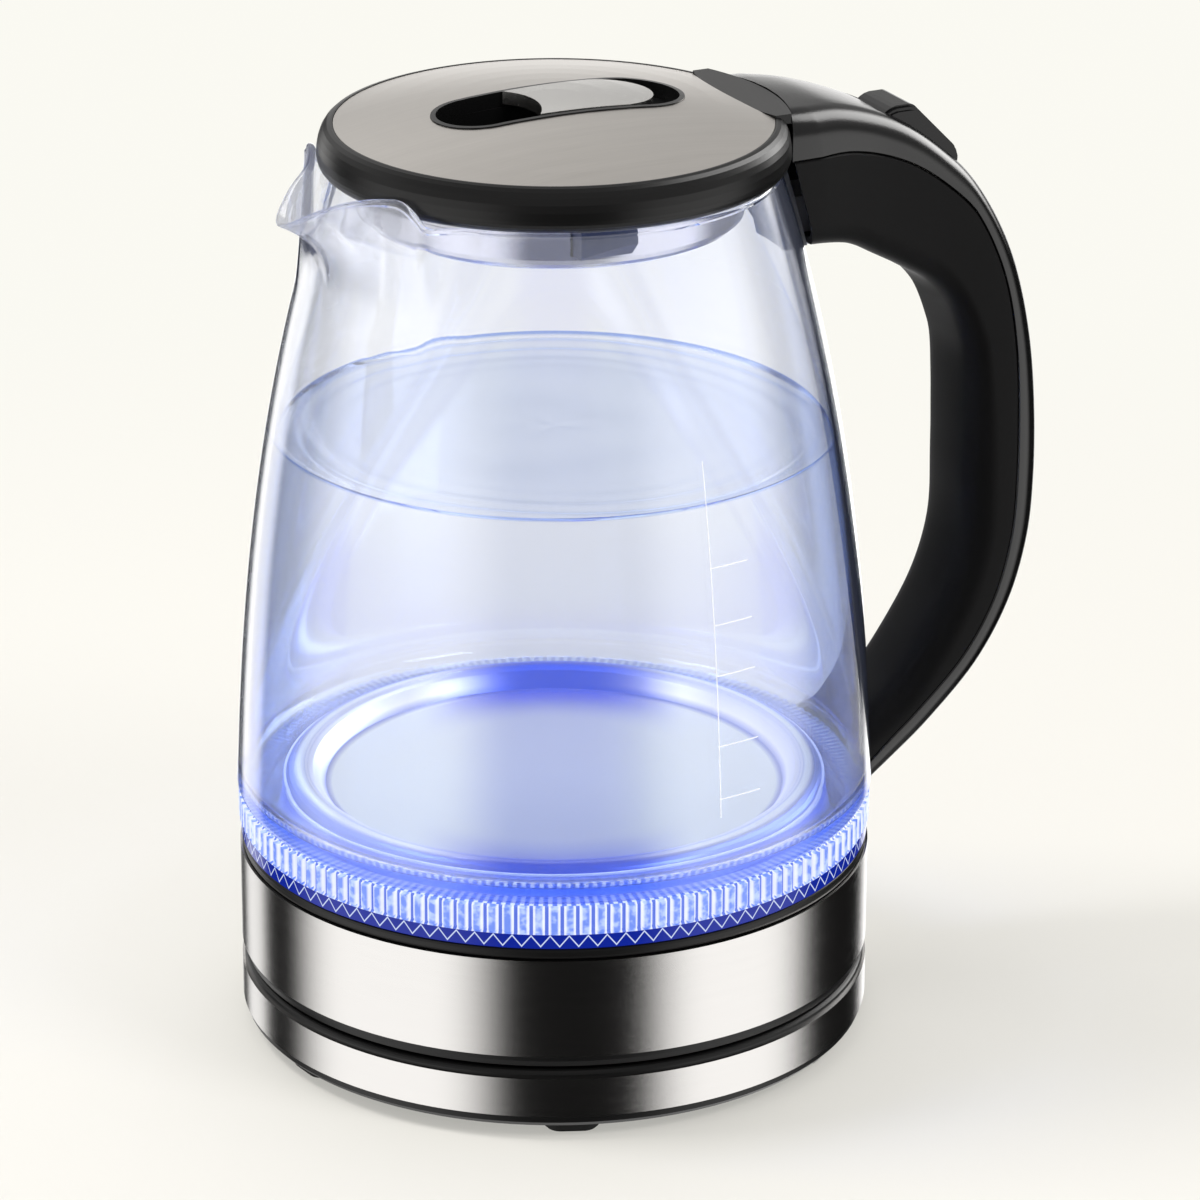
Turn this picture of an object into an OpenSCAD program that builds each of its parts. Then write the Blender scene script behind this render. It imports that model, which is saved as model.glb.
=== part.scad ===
// Electric kettle: a glass jug with a lift-off lid, standing on a round power base.
// The origin is on the jug's axis at the level of the table, +X points to the handle,
// -X to the spout, and +Z is up.

/* [Overall] */
// Radius of the steel bands on the base and on the jug
body_r = 76; // [66:0.5:86]
// Wall of the moulded shells
shell_wall = 2.4; // [1.8:0.1:3]
// Thickness of the steel bands
band_t = 0.6; // [0.4:0.1:1]
// Gap between pieces that move past each other
run_gap = 0.3; // [0.2:0.05:0.5]

/* [Power base] */
// Height of the feet
foot_h = 3; // [2:0.5:5]
// Length of a foot along the edge of the base
foot_w = 13; // [9:0.5:18]
// Width of a foot across the edge of the base
foot_d = 8; // [5:0.5:10]
// Number of feet
foot_count = 6; // [3:1:8]
// Turn of the first foot from the handle
foot_turn = 7.5; // [0:0.5:20]
// Black edge under the steel band
base_edge_h = 3; // [2:0.5:5]
// Height of the steel band on the base
base_band_h = 9.7; // [8:0.1:16]
// Black shoulder above the steel band
base_top_h = 2; // [1.5:0.1:4]
// Thickness of the underside cover
cover_t = 2; // [1.5:0.1:3]
// Radius of the connector post
post_r = 16.5; // [14:0.5:20]
// Height of the connector post above the deck
post_h = 14; // [10:0.5:14.5]
// Radius of the mains cord entry
cord_bore_r = 3.3; // [2.6:0.1:3.6]

/* [Jug housing] */
// Black edge under the jug's steel band
jug_edge_h = 3.35; // [2:0.05:6]
// Height of the jug's steel band
jug_band_h = 24.5; // [22:0.5:40]
// Height of the black trim ring
trim_h = 3.05; // [2:0.05:5]
// Height of the clear ribbed light ring
light_h = 10.6; // [9:0.1:16]
// Number of ribs round the light ring
rib_count = 132; // [48:4:140]
// Width of the glass floor that shows round the heating plate
plate_inset = 11.3; // [10:0.1:16]

/* [Glass jug] */
// Height of the glass
glass_h = 154.5; // [130:0.5:180]
// Outer radius of the glass at the rim
rim_r = 52.5; // [48:0.5:56]
// Thickness of the glass
glass_t = 2.3; // [1.8:0.1:3]
// How far the glass stands proud of the steel bands
glass_proud = 0.5; // [0.2:0.1:1]
// Reach of the spout beyond the rim
spout_reach = 18.5; // [10:0.5:22]
// Height over which the spout grows out of the wall
spout_h = 28; // [20:1:40]
// How far the spout's tip lies under the rim
spout_dip = 4.6; // [2:0.1:8]
// Height of the spout's sides over the rim
spout_sides = 5.5; // [3:0.5:7]

/* [Lid] */
// Height of the lid's rim ring
lid_h = 10.7; // [9:0.1:14]
// How far the lid's ring stands out beyond the rim of the glass
lid_over = 2.7; // [2:0.1:4]
// Rise of the domed steel plate
dome_h = 5.3; // [3:0.1:8]
// Thickness of the steel plate
lid_plate_t = 0.7; // [0.5:0.1:1]
// Radius of the bite that the plate leaves towards the handle
bite_r = 67; // [60:1:80]
// Depth of the inner cover below the rim of the glass
inner_depth = 11.5; // [11:0.5:16]
// Radius of the recess at the finger well
well_r = 11.5; // [11:0.1:12.5]
// Radius of the recess at its far end
track_r = 13; // [12.5:0.1:14]
// Length of the recess
recess_l = 62.8; // [62:0.5:66]
// Width of the black bezel round the recess
bezel = 1.2; // [1:0.1:1.5]
// Travel of the lid's lever
lever_travel = 6; // [4:0.5:6]
// Travel of a catch for each millimetre of the lever
catch_ratio = 0.75; // [0.5:0.05:0.8]
// Width of a catch
catch_w = 12.8; // [10:0.2:14]
// Height of a catch
catch_h = 7; // [5:0.5:7]

/* [Handle] */
// Width of the grip
grip_w = 27; // [24:0.5:32]
// Wall of the handle's shells
handle_wall = 2.2; // [1.6:0.1:2.8]
// Radius of the handle's long edges
grip_edge_r = 6.5; // [5:0.5:8]
// Depth of the outer shell along the grip
seam_grip = 8; // [7:0.5:9]
// Depth of the outer shell at the lid
seam_top = 12.4; // [10:0.5:14]
// Gap between the glass and the handle's upper root, filled by the grey pad
strip_t = 3.6; // [2.5:0.1:4.5]
// Width of the switch lever
switch_w = 16; // [12:0.5:17]
// Radius of the switch's pivot pin
pin_r = 1.45; // [1:0.05:2]
// Running clearance of the switch's pivot
pin_gap = 0.05; // [0.02:0.01:0.1]

/* [Hidden] */
$fn = 96;
eps = 0.01;

// levels of the power base and of the jug, from the table up
z_band0 = foot_h + base_edge_h;
z_band1 = z_band0 + base_band_h;
z_deck = z_band1 + base_top_h;
deck_t = 2.2;
z_jug = z_deck + run_gap;
z_jband0 = z_jug + jug_edge_h;
z_jband1 = z_jband0 + jug_band_h;
z_trim = z_jband1 + trim_h;
z_glass = z_trim + light_h;
floor_t = 2.8;
z_floor = z_glass + floor_t;
z_rim = z_glass + glass_h;
z_lid0 = z_rim + run_gap;
z_lid1 = z_lid0 + lid_h;

// radii that several pieces share
shell_r = body_r - band_t;
inside_r = shell_r - shell_wall;
glass_r0 = body_r + glass_proud;
plate_r = body_r - plate_inset;
light_in_r = body_r - 6;
hole_r = plate_r - 6.7;
lid_r = rim_r + lid_over;
seam_r = lid_r + run_gap + 0.2;
root_r = glass_r0 + 0.4;
lid_plate_r = rim_r - 1.3;
rim_in_r = rim_r - glass_t;
dome_r = (lid_plate_r * lid_plate_r + dome_h * dome_h) / (2 * dome_h);
z_plate_edge = z_lid1 - 0.1;
z_dome_c = z_plate_edge + dome_h - dome_r;

// connector between the base and the jug
socket_gap = 0.7;
socket_r = post_r + 5.5;
z_socket_top = z_deck + post_h + 4.3;
z_socket_roof = z_deck + post_h + 1.8;

// lid mechanism
pan_r = rim_in_r - 4.3;
z_pan = z_rim - inner_depth;
z_catch0 = z_rim - 0.5 - catch_h;
z_catch1 = z_catch0 + catch_h;
z_slide = z_catch1 + run_gap;
slide_t = 1.9;
catch_x = -9.4;
catch_tip = rim_in_r - 1.2;
catch_in = 16;
recess_x0 = -recess_l / 2 + 1 + well_r;
recess_x1 = recess_l / 2 + 1 - track_r;
track_drop = 3.4;
lever_t = 1.5;

// outline of the handle, from the lid to the lower root. Each row: how far the outer
// face's distance from the axis follows the rim's radius instead of the body's, and
// what it adds to it; how far up the glass its height lies, and what it adds to that;
// the angle towards the inner face, the depth to it, and half the width beyond the grip
HANDLE = [
    [1, 3.5, 1, 11.65, -77, 38.4, 8],
    [0.58, 3.71, 1, 10.35, -79, 38.1, 5],
    [0.12, 3.94, 1, 6.95, -83, 38.6, 2.5],
    [0, 12, 1, 1.85, -88, 37.4, 1.1],
    [0, 22, 1, -5.35, -92.5, 35, 0.3],
    [0, 31.5, 1, -14.45, -100, 33, 0],
    [0, 39.5, 1, -26.95, -112, 29.1, 0],
    [0, 45, 1, -40.35, -125.5, 25.3, 0],
    [0, 49, 0.87, -37.17, -143, 23, 0],
    [0, 51, 0.69, -27.36, -162, 21.3, 0],
    [0, 51.4, 0.51, -17.55, -180, 20.6, 0],
    [0, 50, 0.35, -9.1, -188, 19.9, 0],
    [0, 45.2, 0.19, -0.55, -198, 19.7, 0],
    [0, 36.2, 0.04, 7.57, -212, 18.9, 0],
    [0, 23, 0, 0.45, -230, 16.5, 0],
    [0, 11.7, 0, -8.45, -250, 17, 0],
    [0.12, 3.94, 0, -15.95, -270, 19, 0]
];
handle_end = len(HANDLE) - 1;
handle_steps = 32;

function clamp01(t) = max(0, min(1, t));
function lerp(a, b, t) = a + (b - a) * t;
function arc(cx, cy, rx, ry, a0, a1, n) =
    [for (i = [0:n]) let(a = lerp(a0, a1, i / n)) [cx + rx * cos(a), cy + ry * sin(a)]];
function mirrored(pts) = [for (i = [len(pts) - 1:-1:0]) [-pts[i].x, pts[i].y]];
function reversed(pts) = [for (i = [len(pts) - 1:-1:0]) pts[i]];

// radius of the glass's outer face at a height: wide and nearly upright low down,
// drawing in faster towards the rim
function glass_r(z) =
    let(u = clamp01((z - z_glass) / glass_h))
    glass_r0 - (glass_r0 - rim_r) * (0.2 * u + 0.48 * u * u + 0.32 * u * u * u);

// two circles joined along their outer tangents, lying along X; the straight sides
// lie a hair inside the tangents, so that they cross the circles cleanly
module slot2d(x0, r0, x1, r1) {
    lean = asin((r0 - r1) / (x1 - x0));
    c0 = r0 == r1 ? r0 : r0 - 0.02;
    c1 = r0 == r1 ? r1 : r1 - 0.02;
    translate([x0, 0]) circle(r0);
    translate([x1, 0]) circle(r1);
    polygon([
        [x0 + c0 * sin(lean), c0 * cos(lean)], [x1 + c1 * sin(lean), c1 * cos(lean)],
        [x1 + c1 * sin(lean), -c1 * cos(lean)], [x0 + c0 * sin(lean), -c0 * cos(lean)]
    ]);
}

module ring(r0, r1, z0, z1) {
    translate([0, 0, z0])
        linear_extrude(z1 - z0) difference() {
            circle(r1);
            circle(r0);
        }
}

// ---------- power base ----------
screw_ring_r = body_r - 26;
boss_r = 4;
screw_r = 1.45;
screw_gap = 0.05;
gland_z = z_band0 + base_band_h / 2;
gland_wall = 0.8;
gland_in = inside_r - 3;

module screw_places() {
    for (a = [30:120:270]) rotate(a) translate([screw_ring_r, 0, 0]) children();
}

// a hole along Y through the back of the base
module back_hole(r, y0, y1) {
    translate([0, y0, gland_z]) rotate([-90, 0, 0]) cylinder(r = r, h = y1 - y0);
}

module base_shell() {
    drip_r = body_r - 12;
    color("#1b1b1c") difference() {
        union() {
            rotate_extrude() polygon(concat(
                [[inside_r - 1.2, foot_h], [shell_r - 1.2, foot_h], [shell_r - 0.1, foot_h + 1.2],
                 [shell_r, z_band0], [shell_r, z_band1]],
                arc(shell_r - 1.4, z_deck - 1.4, 1.4, 1.4, 10, 90, 4),
                [[drip_r + 4, z_deck], [drip_r + 3, z_deck - 0.6], [drip_r - 3, z_deck - 0.6],
                 [drip_r - 4, z_deck], [post_r + run_gap, z_deck],
                 [post_r + run_gap, z_deck - deck_t], [inside_r, z_deck - deck_t],
                 [inside_r, foot_h + cover_t + 0.2], [inside_r - 1.2, foot_h + cover_t + 0.2]]
            ));
            screw_places() translate([0, 0, foot_h + cover_t])
                cylinder(r = boss_r, h = z_deck - deck_t - foot_h - cover_t + eps);
        }
        screw_places() translate([0, 0, foot_h])
            cylinder(r = screw_r + screw_gap, h = z_deck - deck_t - foot_h);
        back_hole(cord_bore_r + gland_wall + 0.1, gland_in - 2, body_r + 2);
    }
}

module base_steel_ring() {
    color("#b9b6b2") difference() {
        ring(shell_r, body_r, z_band0, z_band1);
        back_hole(cord_bore_r + gland_wall + 0.1, body_r - 6, body_r + 2);
    }
}

module base_bottom() {
    slot_l = 16;
    color("#161617") difference() {
        ring(0, inside_r - 1.4, foot_h, foot_h + cover_t);
        screw_places() translate([0, 0, foot_h - 1]) cylinder(r = screw_r + 0.3, h = cover_t + 2);
        screw_places() translate([0, 0, foot_h - 1]) cylinder(r = screw_r + 1.9, h = 2);
        for (a = [0:60:300]) rotate(a) translate([0, 0, foot_h - 1])
            linear_extrude(cover_t + 2) slot2d(24, 1.5, 24 + slot_l, 1.5);
    }
}

module base_feet() {
    foot_end_r = foot_d / 2;
    half = foot_w / 2 - foot_end_r;
    color("#101011") for (i = [0:foot_count - 1])
        rotate(foot_turn + i * 360 / foot_count)
            translate([body_r - 4 - foot_end_r, 0, 0]) rotate(90) union() {
                linear_extrude(foot_h) slot2d(-half, foot_end_r - 0.6, half, foot_end_r - 0.6);
                translate([0, 0, 0.6]) linear_extrude(foot_h - 0.6)
                    slot2d(-half, foot_end_r, half, foot_end_r);
            }
}

module base_screws() {
    color("#8f9092") screw_places() union() {
        translate([0, 0, foot_h + 0.1]) difference() {
            cylinder(r = screw_r + 1.6, h = 0.9);
            for (a = [0, 90]) rotate(a) cube([2.6, 0.7, 1], center = true);
        }
        translate([0, 0, foot_h + 0.9]) cylinder(r = screw_r, h = base_band_h - 2);
    }
}

// ---------- connector ----------
groove_w = 1.6;
groove_depth = 6;
groove_rs = [post_r * 0.47, post_r * 0.78];
sleeve_r = 4;
sleeve_in_r = 3;
strip_w = 0.6;

module base_connector() {
    z_top = z_deck + post_h;
    z_flange = z_deck - deck_t - 2;
    color("#222223") difference() {
        rotate_extrude() polygon(concat(
            [[sleeve_r, z_flange], [post_r + 4, z_flange], [post_r + 4, z_deck - deck_t],
             [post_r, z_deck - deck_t]],
            arc(post_r - 1.5, z_top - 1.5, 1.5, 1.5, 0, 90, 4),
            [[sleeve_r, z_top]]
        ));
        for (r = groove_rs)
            ring(r - groove_w / 2, r + groove_w / 2, z_top - groove_depth, z_top + 1);
    }
}

module base_contacts() {
    z_top = z_deck + post_h;
    color("#c9a24a") {
        ring(sleeve_in_r, sleeve_r, z_deck - 1, z_top - 0.3);
        for (r = groove_rs)
            ring(r - groove_w / 2, r + groove_w / 2, z_top - groove_depth, z_top - groove_depth + 0.8);
    }
}

module cord_gland() {
    color("#19191a") difference() {
        union() {
            back_hole(cord_bore_r + gland_wall, gland_in, body_r + 0.1);
            back_hole(cord_bore_r + gland_wall + 0.5, body_r + 0.05, body_r + 1.3);
        }
        back_hole(cord_bore_r, gland_in - 1, body_r + 2);
    }
}

module jug_socket() {
    floor_top = z_jug + shell_wall;
    color("#242425") rotate_extrude() polygon([
        [post_r + socket_gap, z_jug], [socket_r, z_jug], [socket_r, floor_top + run_gap],
        [socket_r + 3, floor_top + run_gap], [socket_r + 3, floor_top + run_gap + 1.5],
        [socket_r, floor_top + run_gap + 1.5], [socket_r, z_socket_top], [0, z_socket_top],
        [0, z_socket_roof], [post_r + socket_gap, z_socket_roof]
    ]);
}

module socket_pins() {
    pin_len = 9;
    z_top = z_deck + post_h;
    color("#c9a24a") {
        translate([0, 0, z_socket_roof - pin_len]) cylinder(r = 2.2, h = pin_len);
        for (r = groove_rs)
            ring(r - strip_w / 2, r + strip_w / 2, z_top - groove_depth + 1.6, z_socket_roof);
    }
}

// ---------- jug housing ----------
ledge_r = plate_r - 3;
lug_w = 18;

module jug_housing() {
    color("#1b1b1c") rotate_extrude() polygon([
        [socket_r + run_gap, z_jug], [shell_r - 1.6, z_jug], [shell_r - 0.4, z_jug + 0.7],
        [shell_r - 0.1, z_jug + 2], [shell_r, z_jband0], [shell_r, z_jband1],
        [ledge_r, z_jband1], [ledge_r, z_jband1 - shell_wall],
        [inside_r - 3, z_jband1 - shell_wall], [inside_r, z_jband1 - shell_wall - 3],
        [inside_r, z_jug + shell_wall], [socket_r + run_gap, z_jug + shell_wall]
    ]);
}

module jug_steel_ring() {
    color("#b9b6b2") ring(shell_r, body_r, z_jband0, z_jband1);
}

module trim_ring() {
    trim_r = body_r - 0.5;
    color("#141415") union() {
        rotate_extrude() polygon(concat(
            [[light_in_r, z_jband1]],
            arc(trim_r - 1, z_jband1 + 1, 1, 1, -90, 0, 3),
            arc(trim_r - 1, z_trim - 1, 1, 1, 0, 90, 3),
            [[light_in_r, z_trim]]
        ));
        // lug that the handle's hollow root slides over
        translate([0, lug_w / 2, 0]) rotate([90, 0, 0]) linear_extrude(lug_w) polygon([
            [body_r - 3, z_jband1 + 0.3], [body_r + 0.6, z_jband1 + 1.4],
            [body_r + 7.5, z_jband1 + 7.6], [body_r + 7.5, z_jband1 + 12],
            [body_r + 2, z_jband1 + 10.6], [body_r + 2, z_trim - 0.2], [body_r - 3, z_trim - 0.2]
        ]);
    }
}

module light_ring() {
    rib_out = body_r + 0.2;
    rib_in = body_r - 0.7;
    step = 360 / rib_count;
    z_ribs = z_trim + 2.75;
    color("#a9c4f2", 0.6) union() {
        rotate_extrude() polygon([
            [light_in_r, z_trim], [rib_in + 0.4, z_trim], [rib_in + 0.4, z_ribs - 0.3],
            [rib_in - 0.2, z_ribs], [rib_in - 0.2, z_glass], [light_in_r, z_glass]
        ]);
        translate([0, 0, z_ribs]) linear_extrude(z_glass - z_ribs - 0.2) difference() {
            polygon([for (i = [0:rib_count - 1], k = [[0.08, 1], [0.3, 1], [0.42, 0], [0.96, 0]])
                let(a = (i + k[0]) * step, r = lerp(rib_in, rib_out, k[1]))
                [r * cos(a), r * sin(a)]]);
            circle(rib_in - 0.9);
        }
    }
}

module light_board() {
    board_in = ledge_r + 0.4;
    board_out = light_in_r - 0.3;
    board_t = 1.6;
    led = 3;
    color("#d7e2f5") union() {
        ring(board_in, board_out, z_jband1, z_jband1 + board_t);
        for (a = [15:30:345]) rotate(a)
            translate([(board_in + board_out) / 2 - led / 2, -led / 2, z_jband1 + board_t - eps])
                cube([led, led, 1.4]);
    }
}

module clamp_ring() {
    color("#9c9d9f") ring(hole_r - 0.4, plate_r + 1, z_glass - 2.2, z_glass);
}

module heating_plate() {
    seat = z_floor + 0.9;
    flat = z_glass + 0.5;
    collar_r = hole_r - 0.6;
    color("#c9c9ca") rotate_extrude() polygon(concat(
        [[0, flat - 1.2], [collar_r - 1.2, flat - 1.2], [collar_r - 1.2, z_glass - 4.5],
         [collar_r, z_glass - 4.5], [collar_r, seat], [plate_r, seat]],
        arc(plate_r - 3.6, seat - 0.4, 3.6, 2.3, 20, 160, 8),
        [[collar_r - 2.2, flat + 0.5], [collar_r - 4, flat], [0, flat]]
    ));
}

module plate_seal() {
    color("#d9d9d6") ring(hole_r, plate_r + 0.6, z_floor, z_floor + 0.9);
}

element_r = 38;
tube_r = 3.2;

module heating_element() {
    z_tube = z_glass - 0.7 - tube_r;
    color("#8b8580") union() {
        rotate([0, 0, 30]) rotate_extrude(angle = 300) translate([element_r, z_tube]) circle(tube_r);
        for (a = [36, 324]) rotate(a) translate([element_r, 0, z_tube - 7]) cylinder(r = 2, h = 7);
    }
}

module thermostat() {
    z_top = z_glass - 0.7;
    z_base = z_socket_top + run_gap;
    color("#efece4") union() {
        translate([-22, -15, z_base]) cube([44, 30, 7]);
        for (s = [-1, 1]) translate([s * 13, 0, z_base + 7 - eps])
            cylinder(r = 9, h = z_top - z_base - 7);
    }
}

// ---------- glass jug ----------
glass_around = 76;
glass_up = 16;
// angle from the spout, with the points closer together at the spout
function jug_angle(i) = let(a = 360 * i / glass_around) a - 30 * sin(a);
function off_spout(a) = a > 180 ? 360 - a : a;
// shapes of the spout over the angle from its middle: the beak, the part that stands
// clear of the lid, the dip of the tip and the rise of the sides
BEAK = [[0, 1], [3, 0.885], [6, 0.67], [9, 0.45], [12, 0.235], [15, 0.1], [18, 0.03], [22, 0]];
STAND = [[31.5, 1], [33.5, 0.95], [36, 0.6], [39, 0.2], [42, 0]];
DIP = [[0, 1], [3, 0.86], [6, 0.55], [9, 0.28], [12, 0.1], [15, 0]];
SIDES = [[0, 0], [3, 0.14], [6, 0.3], [9, 0.45], [12, 0.56], [15, 0.64], [18, 0.78], [22, 0.93],
    [26, 1], [29, 0.8], [31.5, 0.4], [33.5, 0.05], [36, 0]];
stand_out = lid_r - rim_r + glass_t + 0.3;

// the jug's section: under the floor, up the outside, over the rim, down the inside
WALL = [for (i = [1:glass_up]) z_glass + 3 + (glass_h - 4.2) * (1 - pow(1 - i / glass_up, 1.6))];
SECTION = concat(
    [[hole_r, z_glass], [glass_r0 - 8, z_glass], [glass_r0 - 3, z_glass]],
    arc(glass_r0 - 3, z_glass + 3, 3, 3, -60, 0, 2),
    [for (z = WALL) [glass_r(z), z]],
    arc(rim_r - glass_t / 2, z_rim - glass_t / 2, glass_t / 2, glass_t / 2, 30, 150, 4),
    [for (z = reversed(WALL)) [glass_r(z) - glass_t, z]],
    arc(glass_r0 - glass_t - 5, z_floor + 5, 5, 5, 0, -60, 2),
    [[glass_r0 - glass_t - 5, z_floor], [hole_r, z_floor]]
);

function jug_point(p, a) =
    let(h = clamp01((p.y - z_rim + spout_h) / spout_h), d = off_spout(a),
        out = stand_out * lookup(d, STAND) + (spout_reach - stand_out) * lookup(d, BEAK),
        up = spout_sides * lookup(d, SIDES) - spout_dip * lookup(d, DIP),
        r = p.x + out * pow(h, 2.8 - 1.6 * clamp01(d / 20)))
    [-r * cos(a), -r * sin(a), p.y + up * h * h];

module glass_jug() {
    n = len(SECTION);
    m = glass_around;
    color("#cfdcf7", 0.35) polyhedron(
        points = [for (i = [0:m - 1], p = SECTION) jug_point(p, jug_angle(i))],
        faces = [for (i = [0:m - 1], j = [0:n - 1])
            let(i1 = (i + 1) % m, j1 = (j + 1) % n)
            each [[i * n + j, i * n + j1, i1 * n + j1], [i * n + j, i1 * n + j1, i1 * n + j]]]
    );
}

// screw from the arch up into the pad's boss
boss_z = z_rim - 23.2;
root_screw_x = inner_at(0.5).x;
root_screw_z = inner_at(0.5).y;

// pad between the glass and the handle, with the boss that holds the handle's top
module mount_strip() {
    pad_a = 7;
    z0 = z_rim - 26;
    z1 = z_rim - 2;
    levels = [for (i = [0:8]) lerp(z0, z1, i / 8)];
    color("#6d7177") union() {
        rotate(-pad_a) rotate_extrude(angle = 2 * pad_a) polygon(concat(
            [for (z = levels) [glass_r(z) + 0.15, z]],
            [for (z = reversed(levels)) [glass_r(z) + strip_t - 0.2, z]]
        ));
        translate([glass_r(boss_z) + 1, -6, boss_z])
            cube([root_screw_x + 4 - glass_r(boss_z), 12, 9]);
    }
}

// ---------- handle ----------
function row(i) = HANDLE[max(0, min(handle_end, i))];
function between(p0, p1, p2, p3, t) =
    0.5 * (2 * p1 + (p2 - p0) * t + (2 * p0 - 5 * p1 + 4 * p2 - p3) * t * t
           + (3 * p1 - p0 - 3 * p2 + p3) * t * t * t);
function drawn(s) = let(i = floor(s), t = s - i)
    between(row(i - 1), row(i), row(i + 1), row(i + 2), t);
function outer_at(s) = let(d = drawn(s))
    [lerp(body_r, rim_r, d[0]) + d[1], lerp(z_glass, z_rim, d[2]) + d[3]];
function inward(s) = let(d = drawn(s)) [cos(d[4]), sin(d[4])];
function depth_at(s) = drawn(s)[5];
function half_at(s) = grip_w / 2 + drawn(s)[6];
function seam_at(s) = lerp(seam_top, seam_grip, clamp01(s / 5));
function inner_at(s) = outer_at(s) + inward(s) * depth_at(s);

// half a rounded box section as [across, depth] points, from the seam over the back
function half_shell(w, deep, edge, inset) =
    let(crown = 1.1, arc_r = edge - inset)
    concat([[w - inset, deep]], [for (a = [0:18:90], y = [w - edge + arc_r * cos(a)])
        [y, inset + arc_r * (1 - sin(a)) + crown * (y / w) * (y / w)]],
        [for (y = [(w - edge) / 2]) [y, inset + crown * (y / w) * (y / w)]]);
function channel(w, deep, edge) =
    let(out = half_shell(w, deep, edge, 0), in = half_shell(w, deep, edge, handle_wall),
        back = [[0, 0]], back_in = [[0, handle_wall]])
    concat(out, back, mirrored(out), reversed(concat(in, back_in, mirrored(in))));

// one shell of the handle, swept along its outline; the ends fit round the lid, the
// glass and the jug, whose radii the two functions give
module handle_shell(front) {
    rings = [for (k = [0:handle_steps])
        let(s = k * handle_end / handle_steps, o = outer_at(s), d = inward(s),
            deep = front ? seam_at(s) - 0.1 : depth_at(s) - seam_at(s) - 0.1,
            from = front ? o : o + d * depth_at(s), dir = front ? d : -d, side = front ? 1 : -1)
        [for (p = channel(half_at(s), deep, grip_edge_r))
            let(x = from.x + dir.x * p.y, z = from.y + dir.y * p.y,
                narrow = front ? 1 : lerp(grip_w / 2 / half_at(s), 1, p.y / deep),
                near = front ? seam_r : glass_r(z) + strip_t,
                y = p.x * narrow,
                x_end = k == 0 ? sqrt(near * near - y * y)
                      : k == handle_steps ? sqrt(root_r * root_r - y * y) : x)
            [x_end, side * y, z]]];
    n = len(rings[0]);
    h = n / 2;
    polyhedron(
        points = [for (r = rings, p = r) p],
        faces = concat(
            [for (k = [0:handle_steps - 1], j = [0:n - 1]) let(j1 = (j + 1) % n, a = k * n)
                each [[a + j, a + n + j, a + n + j1], [a + j, a + n + j1, a + j1]]],
            [for (j = [0:h - 2], e = [0, handle_steps * n])
                let(q = [e + j, e + j + 1, e + n - 2 - j, e + n - 1 - j])
                each e == 0 ? [[q[0], q[1], q[2]], [q[0], q[2], q[3]]]
                            : [[q[2], q[1], q[0]], [q[3], q[2], q[0]]]]
        )
    );
}

// the switch's pivot and its window in the outer shell
pivot = [body_r + 15, z_rim - 7.45];
window_a = pivot + [-10.2, 12.5];
window_b = pivot + [12.4, -5.9];
ear_in = 6.6;
ear_out = 10;

module across(half) {
    translate([0, half, 0]) rotate([90, 0, 0]) linear_extrude(2 * half) children();
}

module handle_body() {
    color("#1d1d1e") difference() {
        handle_shell(false);
        translate([root_screw_x, 0, root_screw_z - 2]) cylinder(r = screw_r + 0.2, h = 12);
    }
}

module handle_cover() {
    dir = (window_b - window_a) / norm(window_b - window_a);
    up = [-dir.y, dir.x];
    color("#1d1d1e") difference() {
        handle_shell(true);
        across(switch_w / 2 + 0.4) polygon([
            window_a + up * 7, window_b + up * 7, window_b - up * 4, window_a - up * 4
        ]);
    }
}

module handle_screws() {
    head_h = 1.2;
    color("#8f9092") translate([root_screw_x, 0, root_screw_z - head_h - 0.5]) union() {
        cylinder(r = screw_r, h = boss_z - root_screw_z + head_h + 0.4);
        cylinder(r = screw_r + 1.4, h = head_h);
    }
}

module steam_switch() {
    color("#e6e2d8") difference() {
        union() {
            across(grip_w / 2 - handle_wall - 0.2) polygon([
                pivot + [-8, -19], pivot + [5, -19], pivot + [5, -9], pivot + [-8, -9]
            ]);
            for (s = [-1, 1]) translate([0, s * (ear_in + ear_out) / 2, 0])
                across((ear_out - ear_in) / 2) union() {
                    translate(pivot) circle(2.7);
                    polygon([
                        pivot + [-2.7, 0], pivot + [2.7, 0], pivot + [4, -9.5], pivot + [-4, -9.5]
                    ]);
                }
        }
        across(ear_out + 1) translate(pivot) circle(pin_r + pin_gap);
    }
}

module handle_wires() {
    wire_r = 1.1;
    sides = 8;
    s0 = 3.5;
    s1 = 14.5;
    count = 22;
    clip = handle_wall + wire_r + 0.35;
    color("#b04a3a") for (y = [-3, 3]) polyhedron(
        points = [for (k = [0:count])
            let(s = lerp(s0, s1, k / count), d = inward(s), m = inner_at(s) - d * clip)
            for (a = [0:360 / sides:359])
                [m.x + d.x * wire_r * cos(a), y + wire_r * sin(a), m.y + d.y * wire_r * cos(a)]],
        faces = concat(
            [for (k = [0:count - 1], j = [0:sides - 1]) let(j1 = (j + 1) % sides, a = k * sides)
                each [[a + j, a + sides + j1, a + sides + j], [a + j, a + j1, a + sides + j1]]],
            [[for (j = [sides - 1:-1:0]) j], [for (j = [0:sides - 1]) count * sides + j]]
        )
    );
}

module switch_pin() {
    color("#c4c5c7") across(ear_out) translate(pivot) circle(pin_r);
}

// side outline of the lever, about its pivot, drawn in from its top by inset
function switch_side(inset) = concat(
    [[-8.4, 7.4]],
    arc(-3.4, 6.9 - inset, 5.6, 5.6, 165, 96, 5),
    arc(-0.8, 9.7 - inset, 2.8, 2.8, 84, 50, 3),
    arc(10.2, -0.6 - inset, 2.2, 2.2, 45, -10, 3),
    [[12.2, -3.6], [10, -6], [4, -3.4], [-4, 0]]
);

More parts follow.
